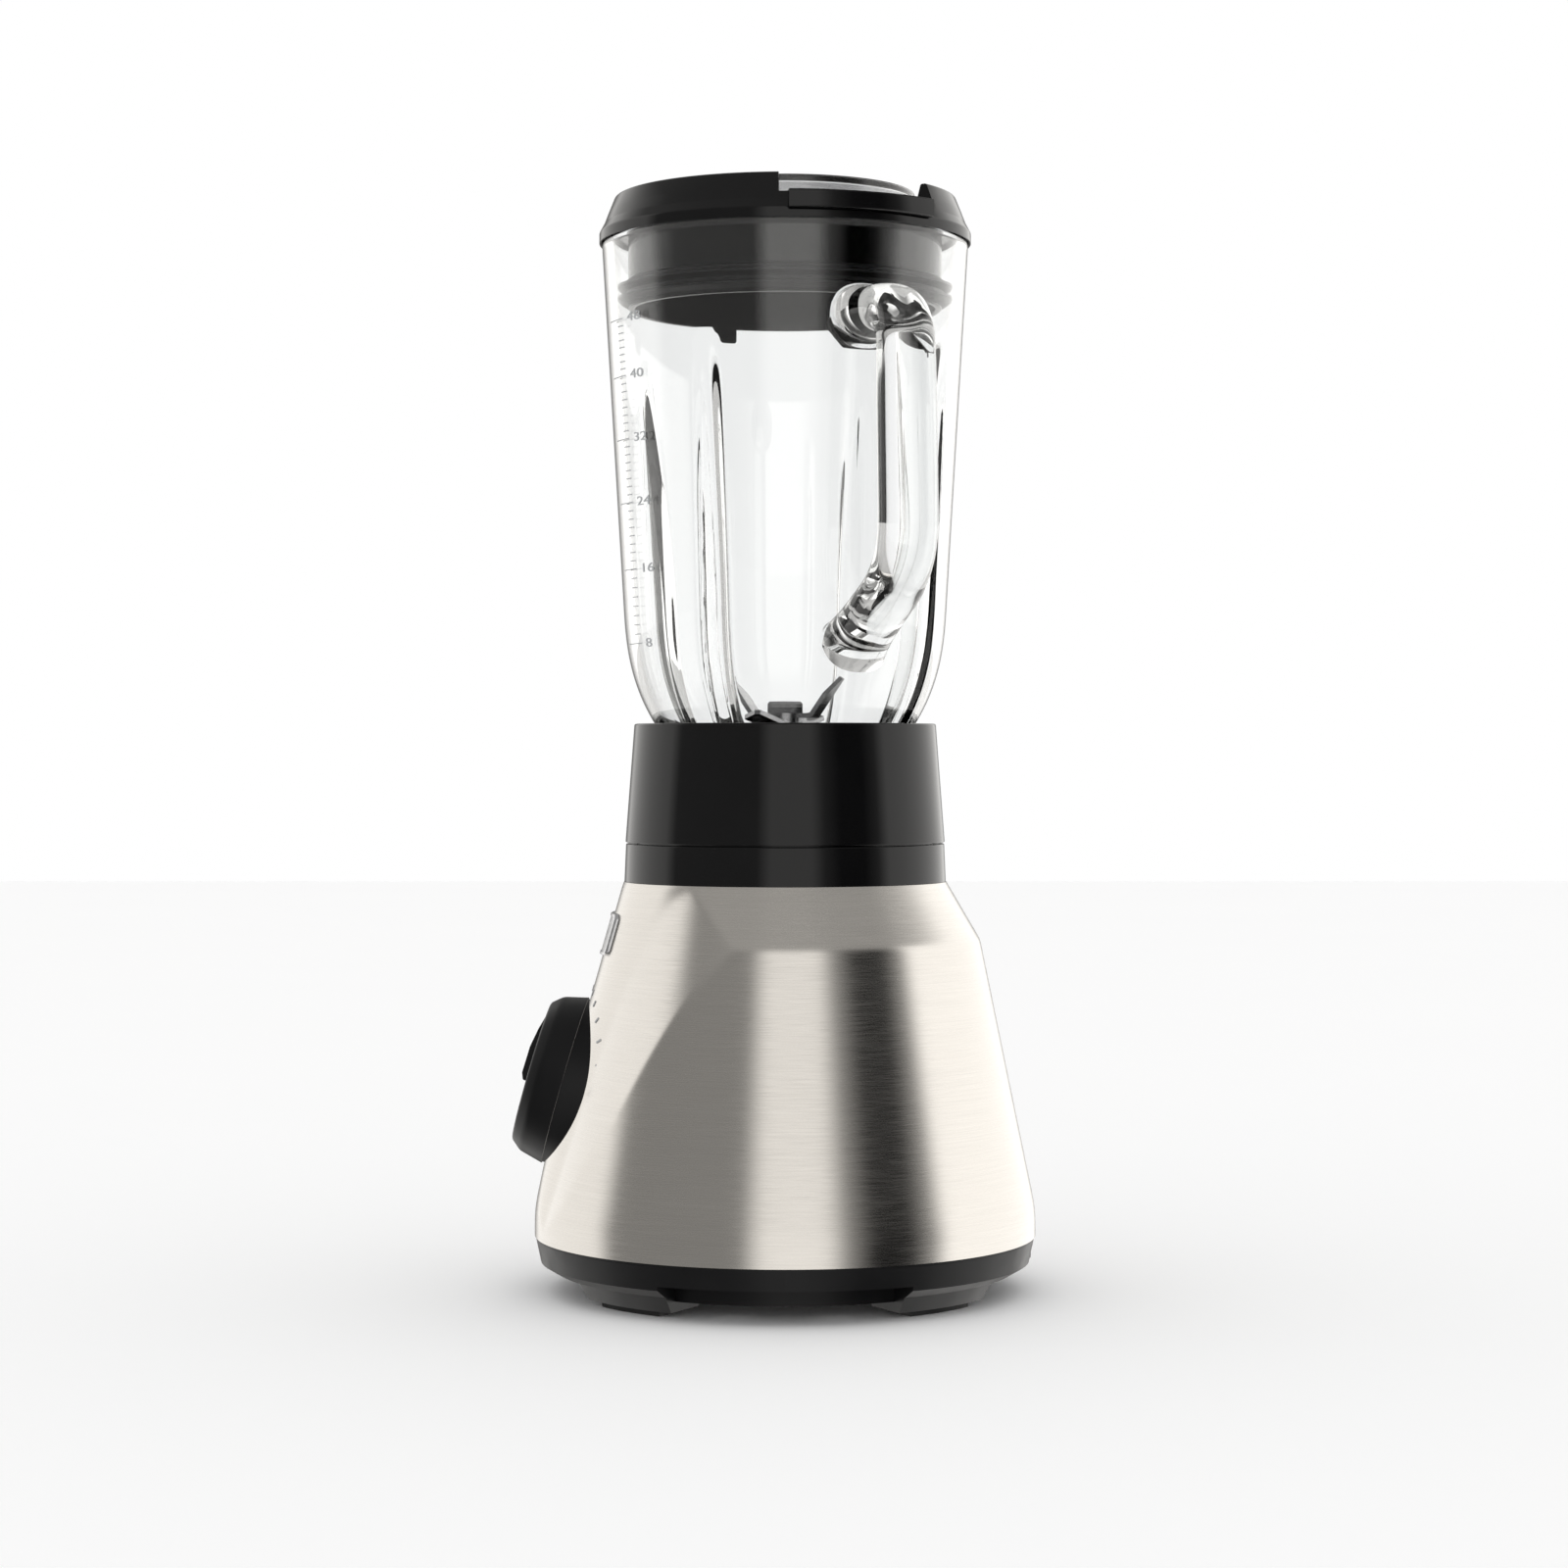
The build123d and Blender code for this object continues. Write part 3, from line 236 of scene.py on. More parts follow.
# ---------------------------------------------------------------- mesh helpers
def mesh_object(name, points, faces, material):
    mesh = bpy.data.meshes.new(name)
    mesh.from_pydata([tuple(point) for point in points], [], faces)
    mesh.validate()
    return new_object(name, mesh, material)


def outward(piece):
    """Weld the mesh and turn its faces outwards."""
    work = bmesh.new()
    work.from_mesh(piece.data)
    bmesh.ops.remove_doubles(work, verts=work.verts, dist=2e-6)
    bmesh.ops.dissolve_degenerate(work, edges=work.edges, dist=1e-7)
    bmesh.ops.recalc_face_normals(work, faces=work.faces)
    work.to_mesh(piece.data)
    work.free()
    return piece


def smooth(piece, degrees=35):
    piece.data.shade_smooth()
    piece.data.set_sharp_from_angle(angle=math.radians(degrees))
    return piece


def filleted(points, steps=4):
    """Round the corners of a closed (radius, height, fillet) outline, in metres."""
    done = []
    count = len(points)
    for index, (r, z, fillet) in enumerate(points):
        here = Vector((r, z))
        before = Vector(points[index - 1][:2]) - here
        after = Vector(points[(index + 1) % count][:2]) - here
        reach = min(fillet, before.length * 0.45, after.length * 0.45)
        if reach <= 0:
            done.append((r, z))
            continue
        start = here + before.normalized() * reach
        end = here + after.normalized() * reach
        for step in range(steps + 1):
            t = step / steps
            done.append(tuple(start * (1 - t) ** 2 + here * 2 * t * (1 - t) + end * t ** 2))
    return done


def turned(name, outline, material, segments=192, fillet_steps=4):
    """A closed outline of (radius, height, fillet) turned about the Z axis."""
    profile = filleted(outline, fillet_steps)
    return profiled_ring(name, [profile] * segments, np.arange(segments) * 2 * math.pi / segments, material)


def profiled_ring(name, profiles, angles, material):
    """A closed ring whose profile may differ from one angle to the next."""
    points = []
    rows = len(profiles[0])
    for profile, angle in zip(profiles, angles):
        points += [(r * math.cos(angle), r * math.sin(angle), z) for r, z in profile]
    faces = []
    turns = len(angles)
    for turn in range(turns):
        after = (turn + 1) % turns
        for row in range(rows):
            up = (row + 1) % rows
            faces.append((turn * rows + row, after * rows + row, after * rows + up, turn * rows + up))
    return smooth(outward(mesh_object(name, points, faces, material)))


def tube_along(name, path, across, widths, heights, power, sides, material):
    """A closed tube of superellipse sections along path; across is its fixed sideways axis."""
    points = []
    count = len(path)
    for index in range(count):
        ahead = path[min(index + 1, count - 1)] - path[max(index - 1, 0)]
        ahead.normalize()
        upwards = across.cross(ahead)
        for side in range(sides):
            angle = 2 * math.pi * side / sides
            c, s = math.cos(angle), math.sin(angle)
            x = widths[index] * math.copysign(abs(c) ** power, c)
            y = heights[index] * math.copysign(abs(s) ** power, s)
            points.append(path[index] + across * x + upwards * y)
    faces = []
    for index in range(count - 1):
        for side in range(sides):
            nxt = (side + 1) % sides
            faces.append((index * sides + side, index * sides + nxt,
                          (index + 1) * sides + nxt, (index + 1) * sides + side))
    faces.append(tuple(range(sides)))
    faces.append(tuple((count - 1) * sides + side for side in range(sides)))
    return outward(mesh_object(name, points, faces, material))


def boolean(piece, tool, operation):
    modifier = piece.modifiers.new("cut", "BOOLEAN")
    modifier.object = tool
    modifier.operation = operation
    modifier.solver = "EXACT"
    apply_modifiers(piece)
    bpy.data.objects.remove(tool)
    return piece


def block(name, low_corner, high_corner, material=None):
    corners = [(x, y, z) for x in (low_corner[0], high_corner[0]) for y in (low_corner[1], high_corner[1])
               for z in (low_corner[2], high_corner[2])]
    faces = [(0, 1, 3, 2), (4, 6, 7, 5), (0, 4, 5, 1), (2, 3, 7, 6), (0, 2, 6, 4), (1, 5, 7, 3)]
    return outward(mesh_object(name, corners, faces, material))


# ---------------------------------------------------------------- materials
class Finish:
    """A material under construction: a Principled shader and the nodes that feed it."""

    def __init__(self, name, color, roughness, metallic=0.0, **sockets):
        self.material = bpy.data.materials.new(name)
        self.material.use_nodes = True
        self.material.diffuse_color = (*color, 1)
        self.tree = self.material.node_tree
        self.shader = self.tree.nodes["Principled BSDF"]
        self.shader.inputs["Base Color"].default_value = (*color, 1)
        self.shader.inputs["Roughness"].default_value = roughness
        self.shader.inputs["Metallic"].default_value = metallic
        for key, value in sockets.items():
            self.shader.inputs[key.replace("_", " ")].default_value = value
        self.place = self.tree.nodes.new("ShaderNodeTexCoord").outputs["Object"]

    def link(self, source, target):
        self.tree.links.new(source, target)

    def noise(self, scale, detail=3.0, rough=0.55, stretch=(1, 1, 1)):
        mapping = self.tree.nodes.new("ShaderNodeMapping")
        mapping.inputs["Scale"].default_value = [scale * part for part in stretch]
        self.link(self.place, mapping.inputs["Vector"])
        noise = self.tree.nodes.new("ShaderNodeTexNoise")
        noise.inputs["Scale"].default_value = 1.0
        noise.inputs["Detail"].default_value = detail
        noise.inputs["Roughness"].default_value = rough
        self.link(mapping.outputs[0], noise.inputs["Vector"])
        return noise.outputs["Fac"]

    def span(self, source, low_value, high_value, from_low=0.3, from_high=0.7):
        node = self.tree.nodes.new("ShaderNodeMapRange")
        node.inputs["From Min"].default_value = from_low
        node.inputs["From Max"].default_value = from_high
        node.inputs["To Min"].default_value = low_value
        node.inputs["To Max"].default_value = high_value
        self.link(source, node.inputs["Value"])
        return node.outputs[0]

    def tint(self, source, first, second):
        node = self.tree.nodes.new("ShaderNodeMix")
        node.data_type = "RGBA"
        node.inputs[6].default_value = (*first, 1)
        node.inputs[7].default_value = (*second, 1)
        self.link(source, node.inputs[0])
        self.link(node.outputs[2], self.shader.inputs["Base Color"])

    def roughen(self, source, low_value, high_value):
        self.link(self.span(source, low_value, high_value), self.shader.inputs["Roughness"])

    def bump(self, source, depth, strength=1.0):
        node = self.tree.nodes.new("ShaderNodeBump")
        node.inputs["Distance"].default_value = depth
        node.inputs["Strength"].default_value = strength
        self.link(source, node.inputs["Height"])
        self.link(node.outputs[0], self.shader.inputs["Normal"])


def brushed_steel(name, color, roughness):
    """Sheet steel brushed round the vertical axis."""
    finish = Finish(name, color, roughness, 1.0, Anisotropic=0.75, Anisotropic_Rotation=0.25)
    lines = finish.noise(1.0, 4.0, 0.6, (28, 28, 2600))
    fine = finish.noise(1.0, 2.0, 0.5, (90, 90, 7000))
    finish.tint(lines, [part * 0.9 for part in color], [min(part * 1.08, 1) for part in color])
    finish.roughen(fine, roughness - 0.05, roughness + 0.07)
    finish.bump(lines, 0.00003, 0.35)
    tangent = finish.tree.nodes.new("ShaderNodeTangent")
    tangent.direction_type = "RADIAL"
    tangent.axis = "Z"
    finish.link(tangent.outputs[0], finish.shader.inputs["Tangent"])
    return finish.material


def moulded(name, color, roughness, grain, depth, specular=0.5):
    """Moulded plastic or rubber with a fine grain and slight wear in its gloss."""
    finish = Finish(name, color, roughness, 0.0, Specular_IOR_Level=specular)
    broad = finish.noise(60, 3.0)
    fine = finish.noise(grain, 2.0)
    finish.tint(broad, [part * 0.82 for part in color], [part * 1.2 for part in color])
    finish.roughen(broad, roughness * 0.85, roughness * 1.2)
    finish.bump(fine, depth, 0.5)
    return finish.material


def metal(name, color, roughness, grain=900, depth=0.00002, stretch=(1, 1, 1)):
    finish = Finish(name, color, roughness, 1.0)
    grit = finish.noise(grain, 3.0, 0.6, stretch)
    finish.tint(grit, [part * 0.8 for part in color], [min(part * 1.12, 1) for part in color])
    finish.roughen(grit, roughness * 0.8, roughness * 1.3)
    finish.bump(grit, depth, 0.4)
    return finish.material


def clear(name, color, roughness, ior):
    """Clear glass or plastic: faint thickness ripples and a trace of tint."""
    finish = Finish(name, color, roughness, 0.0, Transmission_Weight=1.0, IOR=ior)
    ripple = finish.noise(22, 1.0, 0.4, (1, 1, 0.5))
    finish.tint(ripple, color, [part * 0.99 for part in color])
    finish.bump(ripple, 0.00012, 0.25)
    return finish.material


STEEL = brushed_steel("brushed_steel_shell", (0.62, 0.595, 0.56), 0.24)
GLOSS = moulded("gloss_black", (0.004, 0.004, 0.0042), 0.08, 500, 0.000003, 0.28)
SATIN = moulded("satin_black", (0.007, 0.007, 0.0075), 0.36, 2600, 0.00002, 0.17)
KNOB = moulded("knob_black", (0.006, 0.006, 0.0065), 0.36, 3000, 0.00002, 0.16)
RUBBER = moulded("black_rubber", (0.014, 0.014, 0.014), 0.75, 1800, 0.00004, 0.3)
SILICONE = moulded("silicone", (0.012, 0.012, 0.013), 0.45, 900, 0.00001, 0.35)
GLASS = clear("clear_glass", (0.985, 0.992, 0.99), 0.0, 1.5)
CLEAR = clear("clear_plastic", (0.975, 0.98, 0.985), 0.03, 1.49)
MARKS = moulded("mark_grey", (0.38, 0.39, 0.40), 0.5, 1500, 0.00001)
BADGE = metal("badge_plate", (0.62, 0.62, 0.63), 0.22, 700)
BLADE = metal("ground_steel", (0.34, 0.34, 0.35), 0.2, 1400, 0.00002, (1, 6, 1))
ZINC = metal("zinc_steel", (0.55, 0.55, 0.56), 0.35)
LAMINATED = metal("laminated_steel", (0.16, 0.16, 0.18), 0.5, 1.0, 0.0001, (60, 60, 2000))
CASTING = metal("cast_aluminium", (0.55, 0.55, 0.57), 0.5, 500, 0.00006)
COPPER = metal("enamelled_copper", (0.62, 0.26, 0.10), 0.3, 1.0, 0.0001, (80, 80, 1500))
BAR_COPPER = metal("turned_copper", (0.72, 0.38, 0.22), 0.3, 1.0, 0.00003, (60, 60, 2500))
BRONZE = metal("sintered_bronze", (0.45, 0.32, 0.16), 0.5, 1600, 0.00004)
CARBON = moulded("carbon", (0.03, 0.03, 0.032), 0.6, 2500, 0.00003)
NYLON = moulded("natural_nylon", (0.62, 0.60, 0.54), 0.45, 900, 0.00002)
BOARD = moulded("circuit_board", (0.02, 0.16, 0.06), 0.35, 400, 0.00002)
PART = moulded("component_case", (0.08, 0.085, 0.11), 0.45, 1200, 0.00002)


# ---------------------------------------------------------------- steel housing
BAND_TOP = HOUSING_LOW + 8.5 * MM
SHOULDER_Z = HOUSING_TOP - 21.2 * MM
SHOULDER_RADIUS = 71.7 * MM
TOP_RADIUS = 59.3 * MM
CREASE = 0.7 * MM


def circle_reach(radius, centre_y, cosine, sine):
    """How far a ray from the axis goes before it meets a circle centred at (0, centre_y)."""
    return centre_y * sine + calc("SQRT", radius * radius - centre_y * centre_y * cosine * cosine)


def housing_radius(cosine, sine, z):
    """Outer radius of the steel housing: a stack of cones cut by the leaning panel and flank."""
    cone_slope = (HOUSING_RADIUS - SHOULDER_RADIUS) / (SHOULDER_Z - BAND_TOP)
    shoulder_slope = (SHOULDER_RADIUS - TOP_RADIUS) / (HOUSING_TOP - SHOULDER_Z)
    cone = HOUSING_RADIUS - (z - BAND_TOP) * cone_slope
    shoulder = TOP_RADIUS + (HOUSING_TOP - z) * shoulder_slope
    body = least(least(cone, HOUSING_RADIUS - 0.2 * MM, 1.6 * MM), shoulder, CREASE)
    panel = circle_reach(TOP_RADIUS + 0.1 * MM, (HOUSING_TOP - z) * -0.285, cosine, sine)
    drop = (HOUSING_TOP - z) + 10 * MM
    flank_size = drop * 0.486 + 62.1 * MM
    flank = circle_reach(flank_size, flank_size - 52.1 * MM - drop * 0.286, cosine, sine)
    return least(body, most(panel, flank, CREASE * 1.6), CREASE)


def stretch(share, start, end):
    """0 before start, 1 after end, and a straight ramp between them."""
    return clamp01((share - start) / (end - start))


def make_housing():
    """Outer wall up, top flange in, and the inner wall back down, as one closed sheet."""
    tree = Tree("pressed_housing", STEEL, columns=361, rows=151, wall=1.2 * MM, top_opening=36 * MM)
    wall = tree.value("wall")
    outside, flange, lip, under, inside = 0.72, 0.80, 0.82, 0.88, 0.98

    def place(turn, share):
        angle = turn * (2 * math.pi)
        cosine, sine = calc("COSINE", angle), calc("SINE", angle)
        height = HOUSING_TOP - HOUSING_LOW
        fall = stretch(share, under, inside) * (height - wall)
        z = stretch(share, 0.0, outside) * height + HOUSING_LOW - wall * stretch(share, flange, lip) - fall
        inset = wall * (stretch(share, lip, under) - stretch(share, inside, 1.0))
        radius = housing_radius(cosine, sine, z) - inset
        inwards = stretch(share, outside, flange) - stretch(share, lip, under)
        radius = radius * (1 - inwards) + tree.value("top_opening") * inwards
        return radius * cosine, radius * sine, z

    sheet = polar_surface(tree, tree.value("columns"), tree.value("rows"), place)
    piece = smooth(outward(tree.finish(sheet, "steel_housing")), 50)
    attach(piece, "base")
    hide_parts("housing_shell")


# ---------------------------------------------------------------- glass jar
NECK_Z = COLLAR_TOP - 4.2 * MM
BELLY_Z = COLLAR_TOP + 42.3 * MM
BELLY_RADIUS = 59.3 * MM
RIM_RADIUS = 67.3 * MM
WALL = 4 * MM
NECKING = 11.4 * MM
FLUTE_AZIMUTH = math.radians(-27)
GROOVE_TOP = GLASS_TOP - 58.5 * MM
GROOVE_DEPTH, GROOVE_HALF = 16.5 * MM, 2.9 * MM
RIDGE_TOP = GLASS_TOP - 41 * MM
RIDGE_DEPTH, RIDGE_HALF = 17.2 * MM, 6.9 * MM
HANDLE_AZIMUTH = math.radians(25)
BEND_STEPS = 14


def glass_body(z):
    """Outer radius of the glass without its flutes."""
    lean = (RIM_RADIUS - BELLY_RADIUS) / (GLASS_TOP - BELLY_Z)
    below = calc("MAXIMUM", (BELLY_Z - z) / (BELLY_Z - NECK_Z), 0.0)
    above_neck = calc("MINIMUM", below, 1.0)
    return BELLY_RADIUS + (z - BELLY_Z) * lean - above_neck ** 2.65 * NECKING


def glass_shape(angle, z, inner):
    """Radius of the outer (inner = 0) or inner (inner = 1) surface of the glass at an angle and height.
    The outside has sharp grooves, and the inside has rounded ridges that start a little higher."""
    body = glass_body(z)
    offset = calc("ABSOLUTE", calc("WRAP", angle - FLUTE_AZIMUTH, math.pi / 4, -math.pi / 4)) * body
    low = clamp01((GROOVE_TOP - z) / (GROOVE_TOP - NECK_Z))
    groove = low ** 1.05 * (1 - low * low * 0.68) * GROOVE_DEPTH
    groove = groove * most(1 - offset / (low ** 0.5 * GROOVE_HALF + 0.2 * MM), 0.0, 0.12)
    deep = clamp01((RIDGE_TOP - z) / (RIDGE_TOP - NECK_Z))
    ridge = deep ** 0.82 * (1 - deep * deep * 0.62) * RIDGE_DEPTH
    across = clamp01(1 - (offset / RIDGE_HALF) ** 2)
    ridge = ridge * across * across
    return body - groove * (1 - inner) - inner * (ridge + WALL)


def make_jar():
    tree = Tree("fluted_jar", GLASS, columns=401, rows=190, flutes=4, rim_round=0.02)
    rim = tree.value("rim_round")

    def place(turn, share):
        phase = turn * (2 * math.pi)
        flutes = tree.value("flutes")
        angle = phase - calc("SINE", (phase - FLUTE_AZIMUTH) * flutes) * (0.8 / 4)
        from_rim = calc("ABSOLUTE", share - 0.5)
        height_share = 1 - clamp01((from_rim - rim) / (0.5 - rim))
        bend = calc("MAXIMUM", calc("MINIMUM", (share - 0.5) / rim, 1.0), -1.0) * (math.pi / 2)
        foot = clamp01((0.5 - from_rim) / rim) * (math.pi / 2)
        z = height_share * (GLASS_TOP - GLASS_LOW - WALL / 2) + GLASS_LOW + calc("COSINE", bend) * (WALL / 2)
        through = (calc("SINE", bend) * calc("SINE", foot) + 1) * 0.5
        radius = glass_shape(angle, z, through)
        return radius * calc("COSINE", angle), radius * calc("SINE", angle), z

    shell = polar_surface(tree, tree.value("columns"), tree.value("rows"), place)
    return outward(tree.finish(shell, "jar_glass"))


def handle_path():
    """Centre line of the handle in its own upright plane, as (reach, height) with rounded bends."""
    top = GLASS_TOP - 34 * MM
    ends = [
        (63.5 * MM, top - 0.5 * MM, 0), (97.3 * MM, top + 0.4 * MM, 17 * MM),
        (99.9 * MM, top - 90 * MM, 18 * MM), (56.5 * MM, top - 116 * MM, 0),
    ]
    corners = [Vector(end[:2]) for end in ends]
    points = []
    for index, corner in enumerate(corners):
        reach = ends[index][2]
        if not reach:
            points.append(corner)
            continue
        start = corner + (corners[index - 1] - corner).normalized() * reach
        end = corner + (corners[index + 1] - corner).normalized() * reach
        for t in np.linspace(0, 1, BEND_STEPS):
            points.append(start * (1 - t) ** 2 + corner * 2 * t * (1 - t) + end * t * t)
    return points


def make_handle():
    corners = handle_path()
    fine = []
    for first, second in zip(corners, corners[1:]):
        steps = max(1, int((second - first).length / (1.5 * MM)))
        fine += [first.lerp(second, step / steps) for step in range(steps)]
    fine.append(corners[-1])
    out = Vector((math.cos(HANDLE_AZIMUTH), math.sin(HANDLE_AZIMUTH), 0))
    across = Vector((-math.sin(HANDLE_AZIMUTH), math.cos(HANDLE_AZIMUTH), 0))
    path = [out * point.x + Vector((0, 0, point.y)) for point in fine]
    gone = [0.0]
    for first, second in zip(path, path[1:]):
        gone.append(gone[-1] + (second - first).length)
    widths, heights = [], []
    for done in gone:
        left = gone[-1] - done
        root = math.exp(-done / (6 * MM))
        foot = math.exp(-left / (9 * MM))
        elbow = math.exp(-((done - 36 * MM) / (16 * MM)) ** 2)
        widths.append((10.6 + 2.2 * root + 1.5 * foot - 0.6 * elbow) * MM)
        heights.append((7.9 + 4.6 * root + 3.4 * foot + 0.8 * elbow) * MM)
    return tube_along("handle", path, across, widths, heights, 0.85, 48, GLASS)


def finish_jar():
    piece = boolean(make_jar(), make_handle(), "UNION")
    outward(piece)
    piece.data.materials.clear()
    piece.data.materials.append(GLASS)
    smooth(piece, 60)
    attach(piece, "jar")
    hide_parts("glass_jar")


# ---------------------------------------------------------------- volume marks on the glass
MARK_AZIMUTH = math.radians(-63)
NUMBER_SIZE = 4.6 * MM
NUMBER_STRETCH = 2.0
NUMBER_OFFSET = 3.6 * MM
TICK_PITCH = 3.0 * MM
MARK_HEIGHTS = {48: 353, 40: 332.6, 32: 310.1, 24: 287.2, 16: 263.3, 8: 236.5}


def on_glass(x, z, stand):
    """A point on the glass, x metres to the side of the marks' centre line."""
    radius = glass_body(z)
    angle = MARK_AZIMUTH + x / radius
    radius += stand
    return Vector((radius * math.cos(angle), radius * math.sin(angle), z))


def make_numbers():
    pieces = []
    for number, height in MARK_HEIGHTS.items():
        curve = bpy.data.curves.new(f"number_{number}", "FONT")
        curve.body = str(number)
        curve.size = NUMBER_SIZE
        curve.align_x = "LEFT"
        curve.align_y = "CENTER"
        curve.extrude = 0.15 * MM
        curve.resolution_u = 3
        text = bpy.data.objects.new(f"number_{number}", curve)
        bpy.context.scene.collection.objects.link(text)
        mesh = plain_mesh(text)
        bpy.data.objects.remove(text)
        for vertex in mesh.vertices:
            x, y, z = vertex.co
            vertex.co = on_glass(x * NUMBER_STRETCH + NUMBER_OFFSET, height * MM + y, z + 0.05 * MM)
        pieces.append(mesh)
    return pieces


def joined(name, meshes, material):
    """One object from several meshes."""
    points, faces = [], []
    for mesh in meshes:
        start = len(points)
        points += [vertex.co.copy() for vertex in mesh.vertices]
        faces += [tuple(start + index for index in face.vertices) for face in mesh.polygons]
    return mesh_object(name, points, faces, material)


def mark_ticks():
    """Short lines beside the numbers, with finer ones between, as a repeated strip."""
    tree = Tree("volume_ticks", MARKS, ticks=41, pitch=TICK_PITCH, long_tick=13 * MM, short_tick=4.5 * MM,
                thickness=0.35 * MM)
    line = tree.node("GeometryNodeMeshLine", Count=tree.value("ticks"))
    line.inputs["Offset"].default_value = (0, 0, 1)
    index = Field(tree.node("GeometryNodeInputIndex").outputs[0])
    placed = tree.node("GeometryNodeSetPosition", Geometry=line.outputs[0],
                       Position=tree.vector(0.0, index * tree.value("pitch"), 0.0))
    is_long = 1 - clamp01(calc("ABSOLUTE", calc("WRAP", index, 4.0, -4.0)))
    length = tree.value("short_tick") + is_long * (tree.value("long_tick") - tree.value("short_tick"))
    size = tree.vector(1.0, 1.0, 1.0)
    bar = tree.node("GeometryNodeMeshCube", Size=size, Vertices_X=7)
    centred = tree.node("GeometryNodeTransform", Geometry=bar.outputs[0])
    centred.inputs["Translation"].default_value = (-0.5, 0, 0)
    spread = tree.node("GeometryNodeInstanceOnPoints", Points=placed.outputs[0], Instance=centred.outputs[0],
                       Scale=tree.vector(length, tree.value("thickness"), 0.3 * MM))
    return tree.finish(spread.outputs[0], "volume_tick_strip")


def make_marks():
    strip = mark_ticks()
    heights = sorted(MARK_HEIGHTS.values())
    for vertex in strip.data.vertices:
        x, y, z = vertex.co
        tick = round(y / TICK_PITCH)
        height = np.interp(tick / 8, range(len(heights)), heights) * MM
        vertex.co = on_glass(x, height + y - tick * TICK_PITCH, z + 0.1 * MM)
    meshes = make_numbers() + [strip.data]
    piece = joined("volume_marks", meshes, MARKS)
    bpy.data.objects.remove(strip)
    outward(piece)
    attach(piece, "jar")


# ---------------------------------------------------------------- turned plastic pieces
LUG_AZIMUTHS = (22.5, 112.5, 202.5, 292.5)
BOSS_AZIMUTHS = (45, 135, 225, 315)
BOSS_CIRCLE = 44 * MM


def pack_mm(points):
    return [(r * MM, z * MM, f * MM) for r, z, f in points]


def turn_to(azimuth):
    """The turn about the blender's axis to an azimuth in degrees."""
    return Matrix.Rotation(math.radians(azimuth), 4, "Z")


def make_seat_ring():
    top, bottom = SEAT_TOP / MM, HOUSING_TOP / MM
    hub = 12.3
    outline = pack_mm([
        (hub, bottom, 0.2), (59.1, bottom, 0.25), (58.5, top, 0.5), (55.5, top, 0.4),
        (55.5, bottom + 2.5, 0.8), (hub + 3.5, bottom + 2.5, 0.5), (hub + 3, bottom + 5.7, 0.6),
        (hub, bottom + 5.7, 0.4),
    ])
    piece = turned("seat_ring", outline, GLOSS)
    for azimuth in BOSS_AZIMUTHS:
        boss = turned("boss", pack_mm([(0, bottom + 2, 0), (4.5, bottom + 2, 0), (4.5, bottom + 8.2, 0.6),
                                       (0, bottom + 8.2, 0)]), GLOSS, 32)
        boss.data.transform(turn_to(azimuth) @ Matrix.Translation((BOSS_CIRCLE, 0, 0)))
        piece = boolean(piece, boss, "UNION")
    for azimuth in LUG_AZIMUTHS:
        lug = block("lug", (51.5 * MM, -5 * MM, (bottom + 2) * MM), (56.5 * MM, 5 * MM, (top - 4) * MM))
        lug.data.transform(turn_to(azimuth))
        piece = boolean(piece, lug, "UNION")
    notch = block("notch", (-4 * MM, 58.3 * MM, (bottom - 1) * MM), (4 * MM, 61 * MM, (bottom + 5.5) * MM))
    piece = boolean(piece, notch, "DIFFERENCE")
    piece.data.materials.clear()
    piece.data.materials.append(GLOSS)
    smooth(outward(piece), 40)
    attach(piece, "base")
    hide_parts("jar_seat_ring")


def make_collar():
    bottom, top = COLLAR_LOW / MM, COLLAR_TOP / MM
    ledge = bottom + 17.7
    outline = pack_mm([
        (51.0, bottom - 12.0, 0.4), (54.7, bottom - 12.0, 0.5), (54.7, bottom, 0), (58.7, bottom, 0.45),
        (55.4, top, 0.7), (52.4, top, 0.5), (52.2, top - 5.2, 0.5), (46.1, top - 8.2, 0.3), (46.1, ledge, 0),
        (30, ledge, 0.2), (30, ledge - 4, 0.3), (51.0, ledge - 4, 0.8),
    ])
    piece = turned("screw_collar", outline, GLOSS, 224)
    for azimuth in LUG_AZIMUTHS:
        gap = block("gap", (50.5 * MM, -5.8 * MM, (bottom - 13) * MM),
                    (57.5 * MM, 5.8 * MM, (bottom - 3.5) * MM))
        gap.data.transform(turn_to(azimuth))
        piece = boolean(piece, gap, "DIFFERENCE")
    piece.data.materials.clear()
    piece.data.materials.append(GLOSS)
    smooth(outward(piece), 40)
    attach(piece, "jar")
    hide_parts("jar_collar")


def make_cap():
    low_z, top = CAP_LOW / MM, CAP_TOP / MM
    radius = CAP_RADIUS / MM
    outline = pack_mm([
        (0, top - 2.2, 0), (0, top, 0), (radius, top, 1.1), (radius, low_z, 0.4),
        (radius - 2, low_z, 0.3), (radius - 2, top - 2.2, 0.8),
    ])
    piece = turned("clear_cap", outline, CLEAR, 160)
    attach(piece, "cap")
    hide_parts("measuring_cap")


# ---------------------------------------------------------------- lid
CROWN_DROP = 1.2
LEAST_FILLET = 0.05
NUB_AZIMUTHS = (25, 205)


